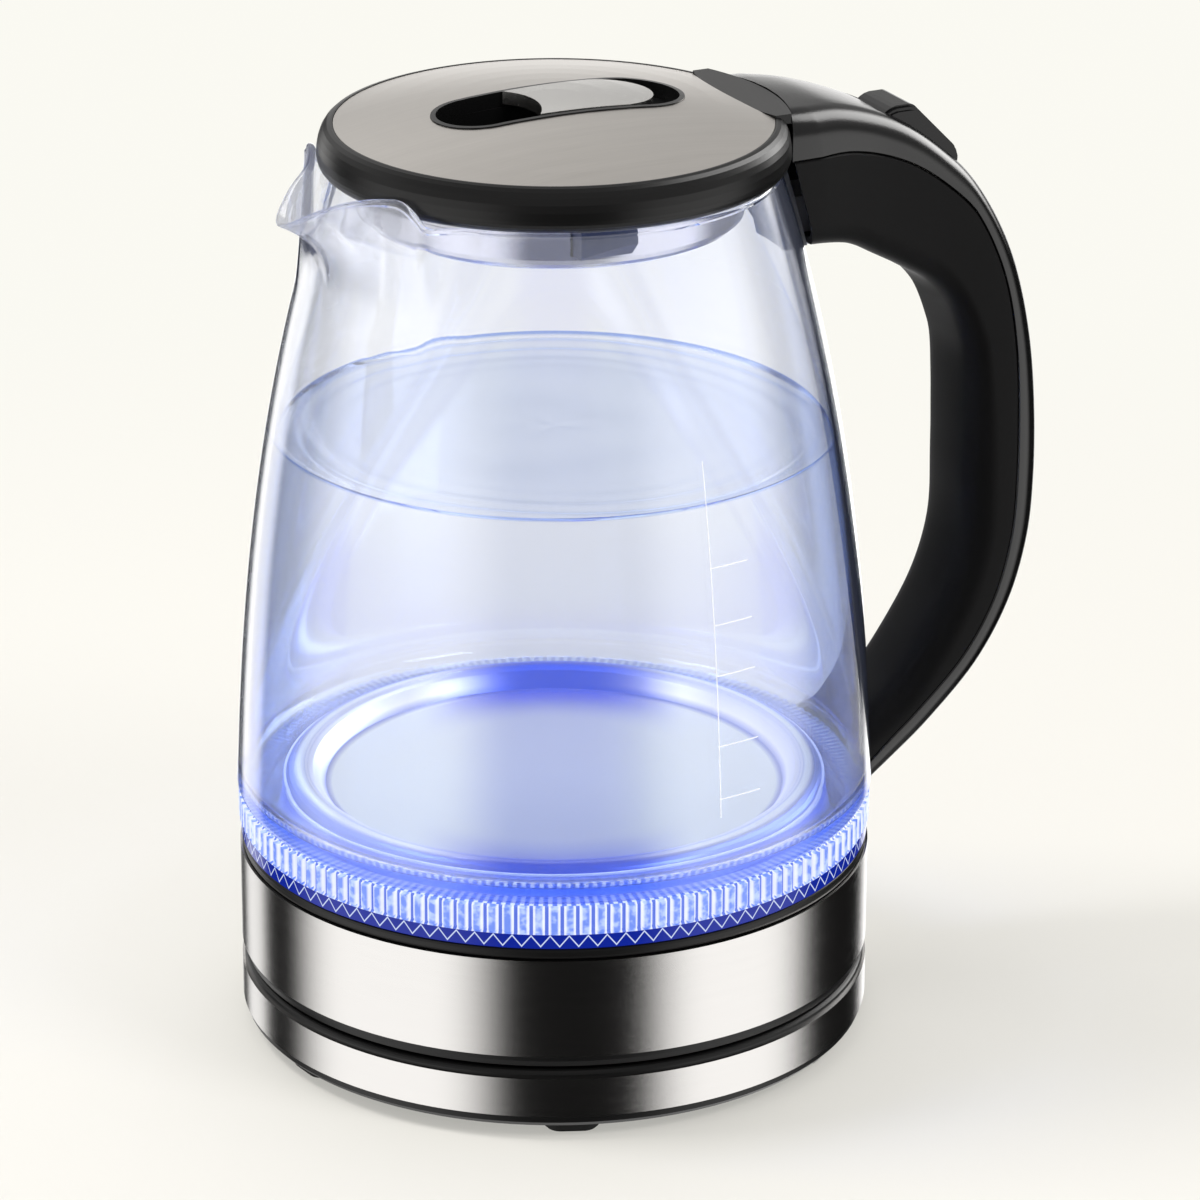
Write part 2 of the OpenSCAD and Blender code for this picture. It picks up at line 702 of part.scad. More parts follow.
module switch_lever() {
    color("#0c0c0d") difference() {
        union() {
            for (layer = [[0, 1.4], [0.5, 0.6], [1.3, 0]])
                across(switch_w / 2 - layer[0]) translate(pivot) polygon(switch_side(layer[1]));
            across(6.3) translate(pivot) circle(3.6);
        }
        across(switch_w) translate(pivot) circle(pin_r + pin_gap);
        // room for the two ears beside the hub
        for (s = [-1, 1]) translate([0, s * (6.3 + 5), 0]) across(5)
            translate(pivot) union() {
                circle(3.1);
                polygon([[-3.1, 0], [3.1, 0], [14, -14], [-8, -14]]);
            }
    }
}

// ---------- lid ----------
function dome_z(r, lift) = z_dome_c + sqrt((dome_r + lift) * (dome_r + lift) - r * r);
function dome_arc(r, lift) = [for (i = [0:8]) [r * i / 8, dome_z(r * i / 8, lift)]];

// everything under the dome, raised or lowered by lift, out to a radius
module under_dome(lift, r = lid_plate_r + 2) {
    rotate_extrude() polygon(concat([[r, z_catch0], [0, z_catch0]], dome_arc(r, lift)));
}

// the part of the dome's shell between two lifts
module dome_shell(low, high, r = lid_plate_r + 2) {
    rotate_extrude() polygon(concat(reversed(dome_arc(r, low)), dome_arc(r, high)));
}

module recess2d(inset) {
    slot2d(recess_x0, well_r - inset, recess_x1, track_r - inset);
}

module bite2d(gap) {
    translate([lid_plate_r - 7.7 + bite_r, 0]) circle(bite_r - gap);
}

z_under = z_plate_edge - lid_plate_t;

module lid_ring() {
    bulge_z = z_lid0 + 3.4;
    tab_w = 21;
    color("#1b1b1c") difference() {
        union() {
            rotate_extrude() polygon(concat(
                arc(lid_r - 3.4, bulge_z, 3.4, 3.4, -90, 0, 6),
                arc(lid_r - 3.4, bulge_z, 3.4, z_lid1 - bulge_z, 15, 90, 5),
                [[lid_plate_r + 0.15, z_lid1], [lid_plate_r + 0.15, z_under - 1],
                 [pan_r + 0.1, z_under - 1], [pan_r + 0.1, z_lid0 + 1.9],
                 [rim_in_r - 0.1, z_lid0 + 1.9], [rim_in_r - 0.1, z_lid0]]
            ));
            // deck under the steel plate
            dome_shell(-lid_plate_t - 2, -lid_plate_t - 0.06, lid_plate_r + 0.5);
            // tab that fills the plate's bite, level with the handle
            intersection() {
                translate([0, 0, z_under - 1]) linear_extrude(dome_h + 10) intersection() {
                    circle(lid_r);
                    bite2d(0.1);
                    translate([0, -tab_w]) square([body_r, 2 * tab_w]);
                }
                translate([0, -body_r, z_under - 4])
                    cube([body_r, 2 * body_r, z_lid1 + 0.5 - z_under + 4]);
            }
        }
        translate([0, 0, z_lid0 - 1]) linear_extrude(lid_h + dome_h + 4) recess2d(-0.1);
    }
}

module lid_plate() {
    color("#a9a6a1") difference() {
        dome_shell(-lid_plate_t, 0, lid_plate_r);
        translate([0, 0, z_lid0]) linear_extrude(lid_h + dome_h + 2) recess2d(-0.05);
        translate([0, 0, z_lid0]) linear_extrude(lid_h + dome_h + 2) bite2d(0);
    }
}

module lid_well() {
    z_floor0 = z_slide + slide_t + run_gap;
    pocket_x = -6.5;
    track_t = 1.2;
    color("#0e0e0f") intersection() {
        difference() {
            union() {
                difference() {
                    translate([0, 0, z_floor0]) linear_extrude(lid_h + dome_h) recess2d(0);
                    under_dome(-track_drop - track_t);
                }
                translate([0, 0, z_floor0]) linear_extrude(lid_h)
                    slot2d(recess_x0, well_r, pocket_x, well_r);
            }
            difference() {
                translate([0, 0, z_floor0 - 1]) linear_extrude(lid_h + dome_h + 2) recess2d(bezel);
                under_dome(-track_drop);
            }
            translate([0, 0, z_floor0 + 1.4]) linear_extrude(lid_h + dome_h)
                slot2d(recess_x0, well_r - bezel, pocket_x - 1, well_r - bezel);
            translate([0, 0, z_floor0 - 1]) linear_extrude(lid_h + dome_h)
                slot2d(4, 3.3, 4 + lever_travel, 3.3);
        }
        under_dome(0.3);
    }
}

lever_in = bezel + run_gap;
lever_end_x = recess_x1 - lever_travel - 0.2;
lever_hollow_r = 17;

module lever2d() {
    difference() {
        union() {
            translate([lever_end_x, 0]) circle(track_r - lever_in - 0.3);
            polygon([
                [-9.5, well_r - lever_in + 0.1], [lever_end_x, track_r - lever_in - 0.3],
                [lever_end_x, -track_r + lever_in + 0.3], [-9.5, -well_r + lever_in - 0.1]
            ]);
        }
        translate([-5 - lever_hollow_r, 0]) circle(lever_hollow_r);
    }
}

module lid_lever() {
    color("#cfcac2") union() {
        intersection() {
            translate([0, 0, z_lid0]) linear_extrude(lid_h + dome_h + 4) lever2d();
            dome_shell(0.5 - lever_t, 0.5);
        }
        // rolled front edge over the finger well
        intersection() {
            translate([0, 0, z_lid0]) linear_extrude(lid_h + dome_h + 4) intersection() {
                lever2d();
                translate([-5 - lever_hollow_r, 0]) circle(lever_hollow_r + 1.4);
            }
            dome_shell(-2.6, 0.5);
        }
        // stem down to the slide plate
        intersection() {
            translate([4, 0, z_slide + slide_t]) cylinder(r = 3, h = lid_h + dome_h);
            under_dome(0);
        }
    }
}

pin_y = 24;

module slide_plate() {
    arm = pin_y + 6;
    fall = lever_travel * catch_ratio;
    color("#3a3b3d") translate([0, 0, z_slide]) linear_extrude(slide_t) difference() {
        union() {
            translate([12, 0]) circle(6);
            translate([-6, -6]) square([18, 12]);
            translate([-20.5, -arm]) square([16, 2 * arm]);
        }
        for (s = [-1, 1]) translate([catch_x, s * pin_y])
            rotate(s * atan2(-fall, -lever_travel))
                slot2d(-0.4, 1.8, norm([fall, lever_travel]) + 0.4, 1.8);
    }
}

module catch(side) {
    bar_w = 8;
    color("#16181f") mirror([0, side < 0 ? 1 : 0, 0]) union() {
        translate([catch_x - bar_w / 2, catch_in, z_catch0]) cube([bar_w, catch_tip - 6 - catch_in, catch_h]);
        intersection() {
            translate([catch_x + catch_w / 2, 0, 0]) rotate([90, 0, -90])
                linear_extrude(catch_w) polygon([
                    [-catch_tip + 7, z_catch0], [-catch_tip + 3, z_catch0],
                    [-catch_tip, z_catch0 + 3.2], [-catch_tip, z_catch1], [-catch_tip + 7, z_catch1]
                ]);
            cylinder(r = catch_tip, h = z_lid1);
        }
        translate([catch_x, pin_y, z_catch1 - eps]) cylinder(r = 1.5, h = slide_t);
    }
}

module catch_front() {
    catch(-1);
}

module catch_back() {
    catch(1);
}

module lid_carrier() {
    rail_h = z_catch1 - z_catch0;
    carrier_r = pan_r - 4.6;
    rail_l = catch_tip - 7.5 - lever_travel * catch_ratio;
    z0 = z_pan + 0.8;
    color("#2b2c2e") union() {
        ring(0, carrier_r, z0, z_catch0 - run_gap);
        intersection() {
            translate([0, 0, z0]) cylinder(r = carrier_r, h = lid_h + rail_h);
            for (s = [-1, 1]) translate([catch_x + s * (4 + run_gap + 1) - 1, -rail_l, z0])
                cube([2, 2 * rail_l, z_catch1 - 0.2 - z0]);
        }
        translate([catch_x - 4, -2, z0]) cube([8, 4, z_catch1 - 0.2 - z0]);
        for (a = lid_screw_angles) rotate(a) translate([lid_screw_r, 0, z0])
            cylinder(r = 3.2, h = z_under - 3 - z0);
    }
}

lid_screw_angles = [55, 180, 305];
lid_screw_r = 34;

module lid_inner_cover() {
    t = 0.8;
    z_step = z_rim - 3.4;
    color("#b8b9bb") difference() {
        rotate_extrude() polygon(concat(
            [[0, z_pan]], arc(pan_r - 4.4, z_pan + 3, 3, 3, -90, -5, 4),
            [[pan_r - 1.2, z_step], [pan_r, z_step + 0.7], [pan_r, z_under - 1.2],
             [pan_r - t, z_under - 1.2], [pan_r - t, z_step + 1.2], [pan_r - 1.2 - t, z_step + 0.4]],
            arc(pan_r - 4.4, z_pan + 3, 3 - t, 3 - t, -5, -90, 4), [[0, z_pan + t]]
        ));
        translate([catch_x - catch_w / 2 - 0.4, -body_r, z_catch0 - 0.4])
            cube([catch_w + 0.8, 2 * body_r, catch_h + 0.8]);
        for (a = lid_screw_angles) rotate(a) translate([lid_screw_r, 0, z_pan - 1])
            cylinder(r = screw_r + 0.2, h = 3);
    }
}

module lid_seal() {
    color("#d4d4d0") ring(pan_r + 0.1, rim_in_r - 0.3, z_rim - 0.3, z_lid0 + 1.8);
}

module lid_screws() {
    color("#a7a8aa") for (a = lid_screw_angles) rotate(a) translate([lid_screw_r, 0, z_pan - 1.1])
        union() {
            difference() {
                cylinder(r = screw_r + 1.3, h = 1.1);
                for (b = [0, 90]) rotate(b) cube([2.4, 0.6, 1], center = true);
            }
            cylinder(r = screw_r, h = 1.9);
        }
}

module catch_springs() {
    turns = 7;
    per_turn = 8;
    coil_r = 2.3;
    wire = 0.35;
    n = turns * per_turn;
    y0 = 2.4;
    y1 = catch_in - 0.4;
    z_axis = (z_catch0 + z_catch1) / 2;
    color("#9b9ca0") for (s = [-1, 1]) polyhedron(
        points = [for (k = [0:n]) let(a = 360 * k / per_turn, y = lerp(y0, y1, k / n))
            for (b = [0:72:359]) let(r = coil_r + wire * cos(b))
                [catch_x + r * cos(a), s * (y + wire * sin(b)), z_axis + r * sin(a)]],
        faces = [for (f = concat(
            [for (k = [0:n - 1], j = [0:4]) let(j1 = (j + 1) % 5, a = k * 5)
                each [[a + j, a + 5 + j, a + 5 + j1], [a + j, a + 5 + j1, a + j1]]],
            [[for (j = [0:4]) j], [for (j = [4:-1:0]) n * 5 + j]]
        )) s > 0 ? f : reversed(f)]
    );
}

base_shell();
base_steel_ring();
base_bottom();
base_feet();
base_screws();
base_connector();
base_contacts();
cord_gland();
jug_socket();
socket_pins();
jug_housing();
jug_steel_ring();
trim_ring();
light_ring();
light_board();
clamp_ring();
heating_plate();
plate_seal();
heating_element();
thermostat();
glass_jug();
mount_strip();
handle_body();
handle_cover();
handle_screws();
steam_switch();
handle_wires();
switch_pin();
switch_lever();
lid_ring();
lid_plate();
lid_well();
lid_lever();
slide_plate();
lid_carrier();
lid_inner_cover();
lid_seal();
lid_screws();
catch_front();
catch_back();
catch_springs();
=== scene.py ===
"""Electric kettle: a clear glass jug with a steel-topped lid, a lit ring of ribs under the
glass, a black handle with a rocker switch, and a round power base. Metres, Z up, the
spout towards -X and the handle towards +X."""

import math

import bmesh
import bpy
from mathutils import Matrix, Vector


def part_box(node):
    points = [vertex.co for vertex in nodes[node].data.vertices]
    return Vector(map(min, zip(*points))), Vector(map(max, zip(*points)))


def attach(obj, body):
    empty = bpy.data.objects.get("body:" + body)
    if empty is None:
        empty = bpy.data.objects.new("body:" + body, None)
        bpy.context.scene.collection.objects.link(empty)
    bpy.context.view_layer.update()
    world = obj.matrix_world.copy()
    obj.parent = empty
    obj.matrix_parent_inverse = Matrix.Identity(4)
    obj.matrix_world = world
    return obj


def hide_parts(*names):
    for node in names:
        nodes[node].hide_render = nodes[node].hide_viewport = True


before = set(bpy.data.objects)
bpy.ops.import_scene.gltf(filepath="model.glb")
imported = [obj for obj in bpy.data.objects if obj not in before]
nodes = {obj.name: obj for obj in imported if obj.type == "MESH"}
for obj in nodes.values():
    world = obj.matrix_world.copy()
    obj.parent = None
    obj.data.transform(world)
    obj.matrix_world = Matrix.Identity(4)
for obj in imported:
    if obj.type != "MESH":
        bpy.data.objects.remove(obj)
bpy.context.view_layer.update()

# ---------------------------------------------------------------------------------
# Camera: a long lens a little above the kettle, turned so that the spout points left
# and a little forward, and the handle right and back.
# ---------------------------------------------------------------------------------
camera = bpy.data.objects.new("camera", bpy.data.cameras.new("camera"))
bpy.context.scene.collection.objects.link(camera)
looking_down, looking_aside = math.radians(21.36), math.radians(-26)
camera.location = (-0.570, -1.168, 0.614)
camera.rotation_euler = (math.radians(90) - looking_down, 0, looking_aside)
camera.data.lens = 175.2
camera.data.sensor_width = 36
camera.data.shift_x = 0.0394
bpy.context.scene.camera = camera
bpy.context.scene.view_settings.view_transform = "Standard"

# ---------------------------------------------------------------------------------
# Studio: a pale floor that runs out of sight, and three soft lamps. The kettle's glossy
# faces see the world in place of the lamps: tall white cards standing round it, a pale
# ceiling, the floor's light from below and one bright strip above the handle.
# ---------------------------------------------------------------------------------


class Field:
    """A socket that changes over a surface, for use in sums."""

    def __init__(self, finish, socket):
        self.finish, self.socket = finish, socket

    def sum(self, operation, *values):
        return self.finish.node("ShaderNodeMath", {"operation": operation}, values)

    def __add__(self, other):
        return self.sum("ADD", self, other)

    def __sub__(self, other):
        return self.sum("SUBTRACT", self, other)

    def __rsub__(self, other):
        return self.sum("SUBTRACT", other, self)

    def __mul__(self, other):
        return self.sum("MULTIPLY", self, other)

    def __truediv__(self, other):
        return self.sum("DIVIDE", self, other)

    def __pow__(self, other):
        return self.sum("POWER", self, other)

    __radd__ = __add__
    __rmul__ = __mul__


class Finish:
    """A node tree for one finish, made by one call for each node."""

    def __init__(self, tree):
        self.tree = tree

    def node(self, kind, settings=None, values=(), output=0):
        """A new node with its settings, and its sockets by number or name; gives one output."""
        made = self.tree.nodes.new(kind)
        for name, value in (settings or {}).items():
            if name == "stops":
                ramp = made.color_ramp
                for stop, (share, colour) in enumerate(value):
                    mark = ramp.elements[stop] if stop < 2 else ramp.elements.new(share)
                    mark.position, mark.color = share, (*colour, 1)
            else:
                setattr(made, name, value)
        for key, value in values.items() if isinstance(values, dict) else enumerate(values):
            self.feed(made.inputs[key], value)
        return Field(self, made.outputs[output])

    def feed(self, socket, value):
        """Links a socket to a field, or sets it to an even value."""
        if isinstance(value, Field):
            self.tree.links.new(value.socket, socket)
        elif socket.type == "RGBA" and len(value) == 3:
            socket.default_value = (*value, 1)
        else:
            socket.default_value = value

    def set(self, name, value):
        """Feeds one of the shader's own sockets."""
        self.feed(self.shader[name], value)

    def blend(self, share, low, high):
        """A colour between two colours."""
        return self.node("ShaderNodeMix", {"data_type": "RGBA"}, {0: share, 6: low, 7: high}, 2)

    def rise(self, value, low, high):
        """0 below low, 1 above high, and smooth between them."""
        settings = {"interpolation_type": "SMOOTHSTEP"}
        return self.node("ShaderNodeMapRange", settings, {0: value, 1: low, 2: high})

    def shader_mix(self, share, first, second):
        return self.node("ShaderNodeMixShader", None, (share, first, second))


def lit_share(finish):
    """1 for what the camera sees, also through glass, and almost 0 for what is seen
    mirrored through glass."""
    path = finish.tree.nodes.new("ShaderNodeLightPath").outputs
    camera_ray, through, gloss, passes = (
        Field(finish, path[name])
        for name in ("Is Camera Ray", "Is Transmission Ray", "Glossy Depth", "Transmission Depth")
    )
    mirrored = finish.rise(gloss, 0, 1) * finish.rise(passes, 2, 3)
    return camera_ray + through * (1 - mirrored * 0.97)


between_cards = 0.012
CARDS = (  # direction from the kettle, half width and softness in radians, and brightness
    (math.radians(180), 0.60, 0.28, 1.75),
    (math.radians(-46), 0.47, 0.26, 1.75),
    (math.radians(100), 0.16, 0.10, 1.35),
    (math.radians(57), 0.26, 0.12, 1.6),
)


def card_light(finish, across, along):
    """How bright the cards are in the direction of (across, along)."""
    length = (across * across + along * along) ** 0.5
    total = None
    for turn, half, soft, bright in CARDS:
        facing = (across * math.cos(turn) + along * math.sin(turn)) / length
        low, high = math.cos(half + soft), math.cos(max(half - soft, 0.02))
        card = finish.rise(facing, low, high) * bright
        total = card if total is None else total + card
    return total + between_cards


backdrop = (0.960, 0.950, 0.890)
world = bpy.data.worlds.new("studio")
world.use_nodes = True
bpy.context.scene.world = world
sky = Finish(world.node_tree)
world_out = world.node_tree.nodes["World Output"]
world.node_tree.nodes.remove(world.node_tree.nodes["Background"])
way = sky.node("ShaderNodeTexCoord", None, (), "Generated")
parts = [sky.node("ShaderNodeSeparateXYZ", None, (way,), axis) for axis in range(3)]


def toward(x, y, z):
    """How far the way points in a direction."""
    return parts[0] * x + parts[1] * y + parts[2] * z


# what glossy faces see: the cards round about, the ceiling, the floor's light and the strip
above, high = sky.rise(parts[2], 0.0, 0.25), sky.rise(parts[2], 0.20, 0.42)
below = sky.rise(parts[2] * -1, 0.62, 0.90)
behind, left = sky.rise(toward(0.44, 0.90, 0), -0.35, 0.45), sky.rise(toward(-0.34, 0.94, 0), 0.30, 0.95)
ceiling = (behind * 0.47 + left * 0.58) * (0.45 + high * 0.55) + (1 - behind) * 0.45 + 0.04
beside_strip = toward(-0.387, 0.844, 0.371)
strip = sky.rise(toward(0.84, 0.15, 0.52), 0.78, 0.90)
strip = strip * (1 - sky.rise(beside_strip * beside_strip, 0.005, 0.08))
round_about = card_light(sky, parts[0], parts[1]) * (1 - above) + above * ceiling
from_below, from_strip = 0.95, 6.5
reflected = round_about * (1 - below) + below * from_below + strip * from_strip
soft_light = sky.node("ShaderNodeBackground", None, {"Color": (1, 0.985, 0.96), "Strength": 0.72})
shine = sky.node("ShaderNodeBackground", None, {"Color": (1, 0.99, 0.975), "Strength": reflected})
plain = sky.node("ShaderNodeBackground", None, {"Color": backdrop, "Strength": 1})
sky_gloss = sky.node("ShaderNodeLightPath", None, (), "Is Glossy Ray")
lit = sky.shader_mix(sky_gloss, soft_light, shine)
sky.feed(world_out.inputs["Surface"], sky.shader_mix(lit_share(sky), lit, plain))

# matt paper, which gives way to an even light of its own away from the kettle's shadow
floor_bm = bmesh.new()
bmesh.ops.create_circle(floor_bm, cap_ends=True, radius=9, segments=64)
floor_mesh = bpy.data.meshes.new("floor")
floor_bm.to_mesh(floor_mesh)
floor_bm.free()
floor = bpy.data.objects.new("floor", floor_mesh)
bpy.context.scene.collection.objects.link(floor)
paper = bpy.data.materials.new("pale_paper")
paper.use_nodes = True
ground = Finish(paper.node_tree)
ground_out = paper.node_tree.nodes["Material Output"]
paper.node_tree.nodes.remove(paper.node_tree.nodes["Principled BSDF"])
matt = ground.node("ShaderNodeBsdfDiffuse", None, {"Color": (0.635, 0.622, 0.595)})
own = ground.node("ShaderNodeEmission", None, {"Color": backdrop, "Strength": 1.0})
beyond = ground.node("ShaderNodeBsdfTransparent", None, {"Color": (1, 1, 1)})
ground_at = ground.node("ShaderNodeTexCoord", None, (), "Object")
spread = ground.node("ShaderNodeVectorMath", {"operation": "LENGTH"}, (ground_at,), "Value")
shadow_near, shadow_end, own_light_near = 0.16, 0.60, 0.42
lit_part = own_light_near + (1 - own_light_near) * ground.rise(spread, shadow_near, shadow_end)
share_seen = lit_share(ground)
seen = ground.shader_mix(share_seen * lit_part, matt, own)
floor_gloss = ground.node("ShaderNodeLightPath", None, (), "Is Glossy Ray")
open_floor = floor_gloss * (1 - share_seen)
ground.feed(ground_out.inputs["Surface"], ground.shader_mix(open_floor, seen, beyond))
floor_mesh.materials.append(paper)

middle = Vector((0, 0, 0.11))
for name, azimuth, elevation, far, wide, watts in (  # angles in degrees, sizes in metres
    ("key_lamp", 152, 58, 1.7, 0.50, 18),
    ("fill_lamp", -60, 44, 1.8, 0.60, 11),
    ("top_lamp", 60, 72, 1.6, 0.8, 7),
):
    lamp = bpy.data.objects.new(name, bpy.data.lights.new(name, "AREA"))
    lamp.data.size, lamp.data.energy = wide, watts
    lamp.data.color = (1, 0.985, 0.96)
    lamp.visible_glossy = False
    turn, lift = math.radians(azimuth), math.radians(elevation)
    side = Vector((math.cos(turn) * math.cos(lift), math.sin(turn) * math.cos(lift), math.sin(lift)))
    lamp.location = middle + side * far
    lamp.rotation_euler = (-side).to_track_quat("-Z", "Y").to_euler()
    bpy.context.scene.collection.objects.link(lamp)

# ---------------------------------------------------------------------------------
# Power base shell: injection moulded ABS in satin black, one piece with the deck and its
# drip groove. The jug's housing and the trim ring above it are moulded in the same black.
# ---------------------------------------------------------------------------------


def material(name, values):
    """A new material and its finish, with even values on the shader's own sockets."""
    made = bpy.data.materials.new(name)
    made.use_nodes = True
    finish = Finish(made.node_tree)
    finish.shader = made.node_tree.nodes["Principled BSDF"].inputs
    finish.material = made
    for socket, value in values.items():
        finish.set(socket, value)
    return finish


def place(finish, scale=(1, 1, 1)):
    """A point on the piece, stretched by scale."""
    at = finish.node("ShaderNodeTexCoord", None, (), "Object")
    return finish.node("ShaderNodeMapping", {"vector_type": "POINT"}, {"Vector": at, "Scale": scale})


def noise(finish, point, scale, detail=3, rough=0.5):
    values = {"Vector": point, "Scale": scale, "Detail": detail, "Roughness": rough}
    return finish.node("ShaderNodeTexNoise", None, values)


def relief(finish, height, depth, strength=1.0):
    """Feeds the shader's normal from a height."""
    values = {"Height": height, "Distance": depth, "Strength": strength}
    finish.set("Normal", finish.node("ShaderNodeBump", None, values))


def dress(finish, *names):
    """Gives CAD nodes a finish."""
    for name in names:
        mesh = nodes[name].data
        mesh.materials.clear()
        mesh.materials.append(finish.material)


def moulded(name, dark, pale, rough, grain=2600):
    """Moulded plastic: fine spark-eroded grain and a slow change of gloss."""
    finish = material(name, {"Specular IOR Level": 0.25})
    point = place(finish)
    cloud = noise(finish, point, 18, 2)
    fine = noise(finish, point, grain, 2)
    finish.set("Base Color", finish.blend(cloud, dark, pale))
    finish.set("Roughness", rough - 0.05 + cloud * 0.07 + fine * 0.05)
    relief(finish, fine, 0.00003, 0.5)
    return finish


black_plastic = moulded("satin_black", (0.0042, 0.0042, 0.0044), (0.0062, 0.0062, 0.0065), 0.34)
dress(black_plastic, "base_shell", "jug_housing", "trim_ring")

# ---------------------------------------------------------------------------------
# Steel band of the base: stainless strip rolled and welded to a ring, brushed along its
# length and pressed round the shell.
# ---------------------------------------------------------------------------------


def brushed_round(name, colour, rough, across=90):
    """Steel brushed round the axis: long fine scratches that follow the ring."""
    finish = material(name, {"Metallic": 1.0})
    hair = noise(finish, place(finish, (1, 1, across)), 95, 5, 0.65)
    band = noise(finish, place(finish, (1, 1, across / 6)), 60, 3)
    dark = tuple(c * 0.90 for c in colour)
    tone = hair * 0.6 + band * 0.4
    finish.set("Base Color", finish.blend(tone, dark, colour))
    finish.set("Roughness", rough - 0.05 + tone * 0.10)
    relief(finish, hair, 0.00004, 0.35)
    return finish


band_steel = brushed_round("brushed_band_steel", (0.56, 0.55, 0.54), 0.17)
dress(band_steel, "base_steel_ring", "jug_steel_ring")

# ---------------------------------------------------------------------------------
# Underside of the base: a moulded cover with vent slots, held by three zinc-plated
# screws, rubber feet under the rim, and the cord's rubber bushing.
# ---------------------------------------------------------------------------------
dress(moulded("underside_black", (0.010, 0.010, 0.010), (0.017, 0.017, 0.017), 0.5), "base_bottom")
rubber = moulded("foot_rubber", (0.009, 0.009, 0.009), (0.018, 0.018, 0.018), 0.72, 1500)
dress(rubber, "base_feet", "cord_gland")


def turned(name, colour, rough):
    """Plated or plain metal with faint turning marks round each point."""
    finish = material(name, {"Metallic": 1.0})
    mark = noise(finish, place(finish, (1, 1, 3)), 900, 3)
    finish.set("Base Color", finish.blend(mark, tuple(c * 0.86 for c in colour), colour))
    finish.set("Roughness", rough + mark * 0.12)
    relief(finish, mark, 0.00002, 0.4)
    return finish


screw_steel = turned("zinc_plated_screw", (0.58, 0.58, 0.60), 0.26)
dress(screw_steel, "base_screws", "lid_screws", "handle_screws", "switch_pin", "catch_springs")

# ---------------------------------------------------------------------------------
# Plug between base and jug: a round moulded connector with ring contacts in the base,
# and the socket with its pins in the jug's floor.
# ---------------------------------------------------------------------------------
connector_black = moulded("connector_nylon", (0.012, 0.012, 0.013), (0.024, 0.024, 0.025), 0.45, 1800)
dress(connector_black, "base_connector", "jug_socket")
dress(turned("contact_brass", (0.78, 0.57, 0.27), 0.24), "base_contacts", "socket_pins")

# ---------------------------------------------------------------------------------
# Inside the jug's floor: a ring board with blue lamps, the clamp ring under the glass,
# the heater's tube brazed under the plate, and the thermostat.
# ---------------------------------------------------------------------------------
board = material("board_lacquer", {"Coat Weight": 0.4})
weave = board.node("ShaderNodeTexVoronoi", None, {"Vector": place(board), "Scale": 700})
board.set("Base Color", board.blend(weave, (0.60, 0.66, 0.75), (0.78, 0.82, 0.88)))
board.set("Roughness", 0.35 + weave * 0.2)
dress(board, "light_board")
# the clamp ring carries a painted blue glow: its emission stands in for the blue lamps' light on the
# steel
clamp = material("clamp_steel_painted_blue_glow", {"Metallic": 0.9, "Emission Strength": 0.8})
cloud = noise(clamp, place(clamp), 160, 2)
clamp.set("Base Color", clamp.blend(cloud, (0.35, 0.40, 0.55), (0.50, 0.54, 0.65)))
clamp.set("Emission Color", clamp.blend(cloud, (0.02, 0.08, 0.62), (0.10, 0.22, 0.85)))
clamp.set("Roughness", 0.25 + cloud * 0.2)
dress(clamp, "clamp_ring")
dress(turned("heater_tube", (0.42, 0.39, 0.36), 0.42), "heating_element")
ceramic = moulded("ceramic_white", (0.74, 0.72, 0.66), (0.82, 0.80, 0.75), 0.5)
dress(ceramic, "thermostat", "steam_switch")
dress(moulded("wire_cover", (0.30, 0.045, 0.03), (0.38, 0.06, 0.04), 0.45), "handle_wires")

# ---------------------------------------------------------------------------------
# Heating plate: pressed stainless steel, spun to a fine circular grain, standing in the
# hole of the glass floor on a pale silicone seal. Its colour carries a painted pool of blue
# light at the front and back edges, painted highlights and blue shade on the rim, and a painted glow.
# ---------------------------------------------------------------------------------
plate = material("spun_plate_steel_painted_light", {"Metallic": 0.8, "Emission Strength": 0.5})
point = place(plate)
across, along = (plate.node("ShaderNodeSeparateXYZ", None, (point,), axis) for axis in (0, 1))
radius = (across * across + along * along) ** 0.5
rings = plate.node(
    "ShaderNodeTexNoise", {"noise_dimensions": "1D"}, {"W": radius, "Scale": 1500, "Detail": 2}
)
# a painted pool of blue light along a line through the middle, strongest towards the rim, with a fainter
# painted streak further in
painted_pool_line = math.radians(64)
painted_pool_half, painted_streak_half = 0.034, 0.026
aside = across * math.sin(painted_pool_line) - along * math.cos(painted_pool_line)
band = 1 - plate.rise(aside * aside, 0.0, painted_pool_half**2)
painted_streak = 1 - plate.rise(aside * aside, 0.0, painted_streak_half**2)
outward = plate.rise(radius, 0.036, 0.056)
painted_blue_pool = band * (outward * 0.90 + 0.08) + painted_streak * (1 - outward) * 0.24
outer_radius = 0.07
stops = (  # painted tones from the middle out: flat, groove in painted blue shade, slope of the rim, crest in a painted highlight and outer slope in painted blue
    (0.0, (0.95, 0.93, 0.84)), (0.764, (0.95, 0.93, 0.85)), (0.785, (0.14, 0.20, 0.62)),
    (0.805, (0.66, 0.70, 0.90)), (0.855, (0.44, 0.50, 0.80)), (0.868, (0.97, 0.97, 1.0)),
    (0.884, (0.97, 0.97, 1.0)), (0.900, (0.16, 0.25, 0.78)), (1.0, (0.12, 0.20, 0.70)),
)
tone = plate.node("ShaderNodeValToRGB", {"stops": stops}, (radius / outer_radius,))
tone = plate.blend(rings * 0.06, tone, (0.70, 0.70, 0.72))
plate.set("Base Color", plate.blend(painted_blue_pool, tone, (0.02, 0.07, 0.55)))
multiply = {"data_type": "RGBA", "blend_type": "MULTIPLY"}
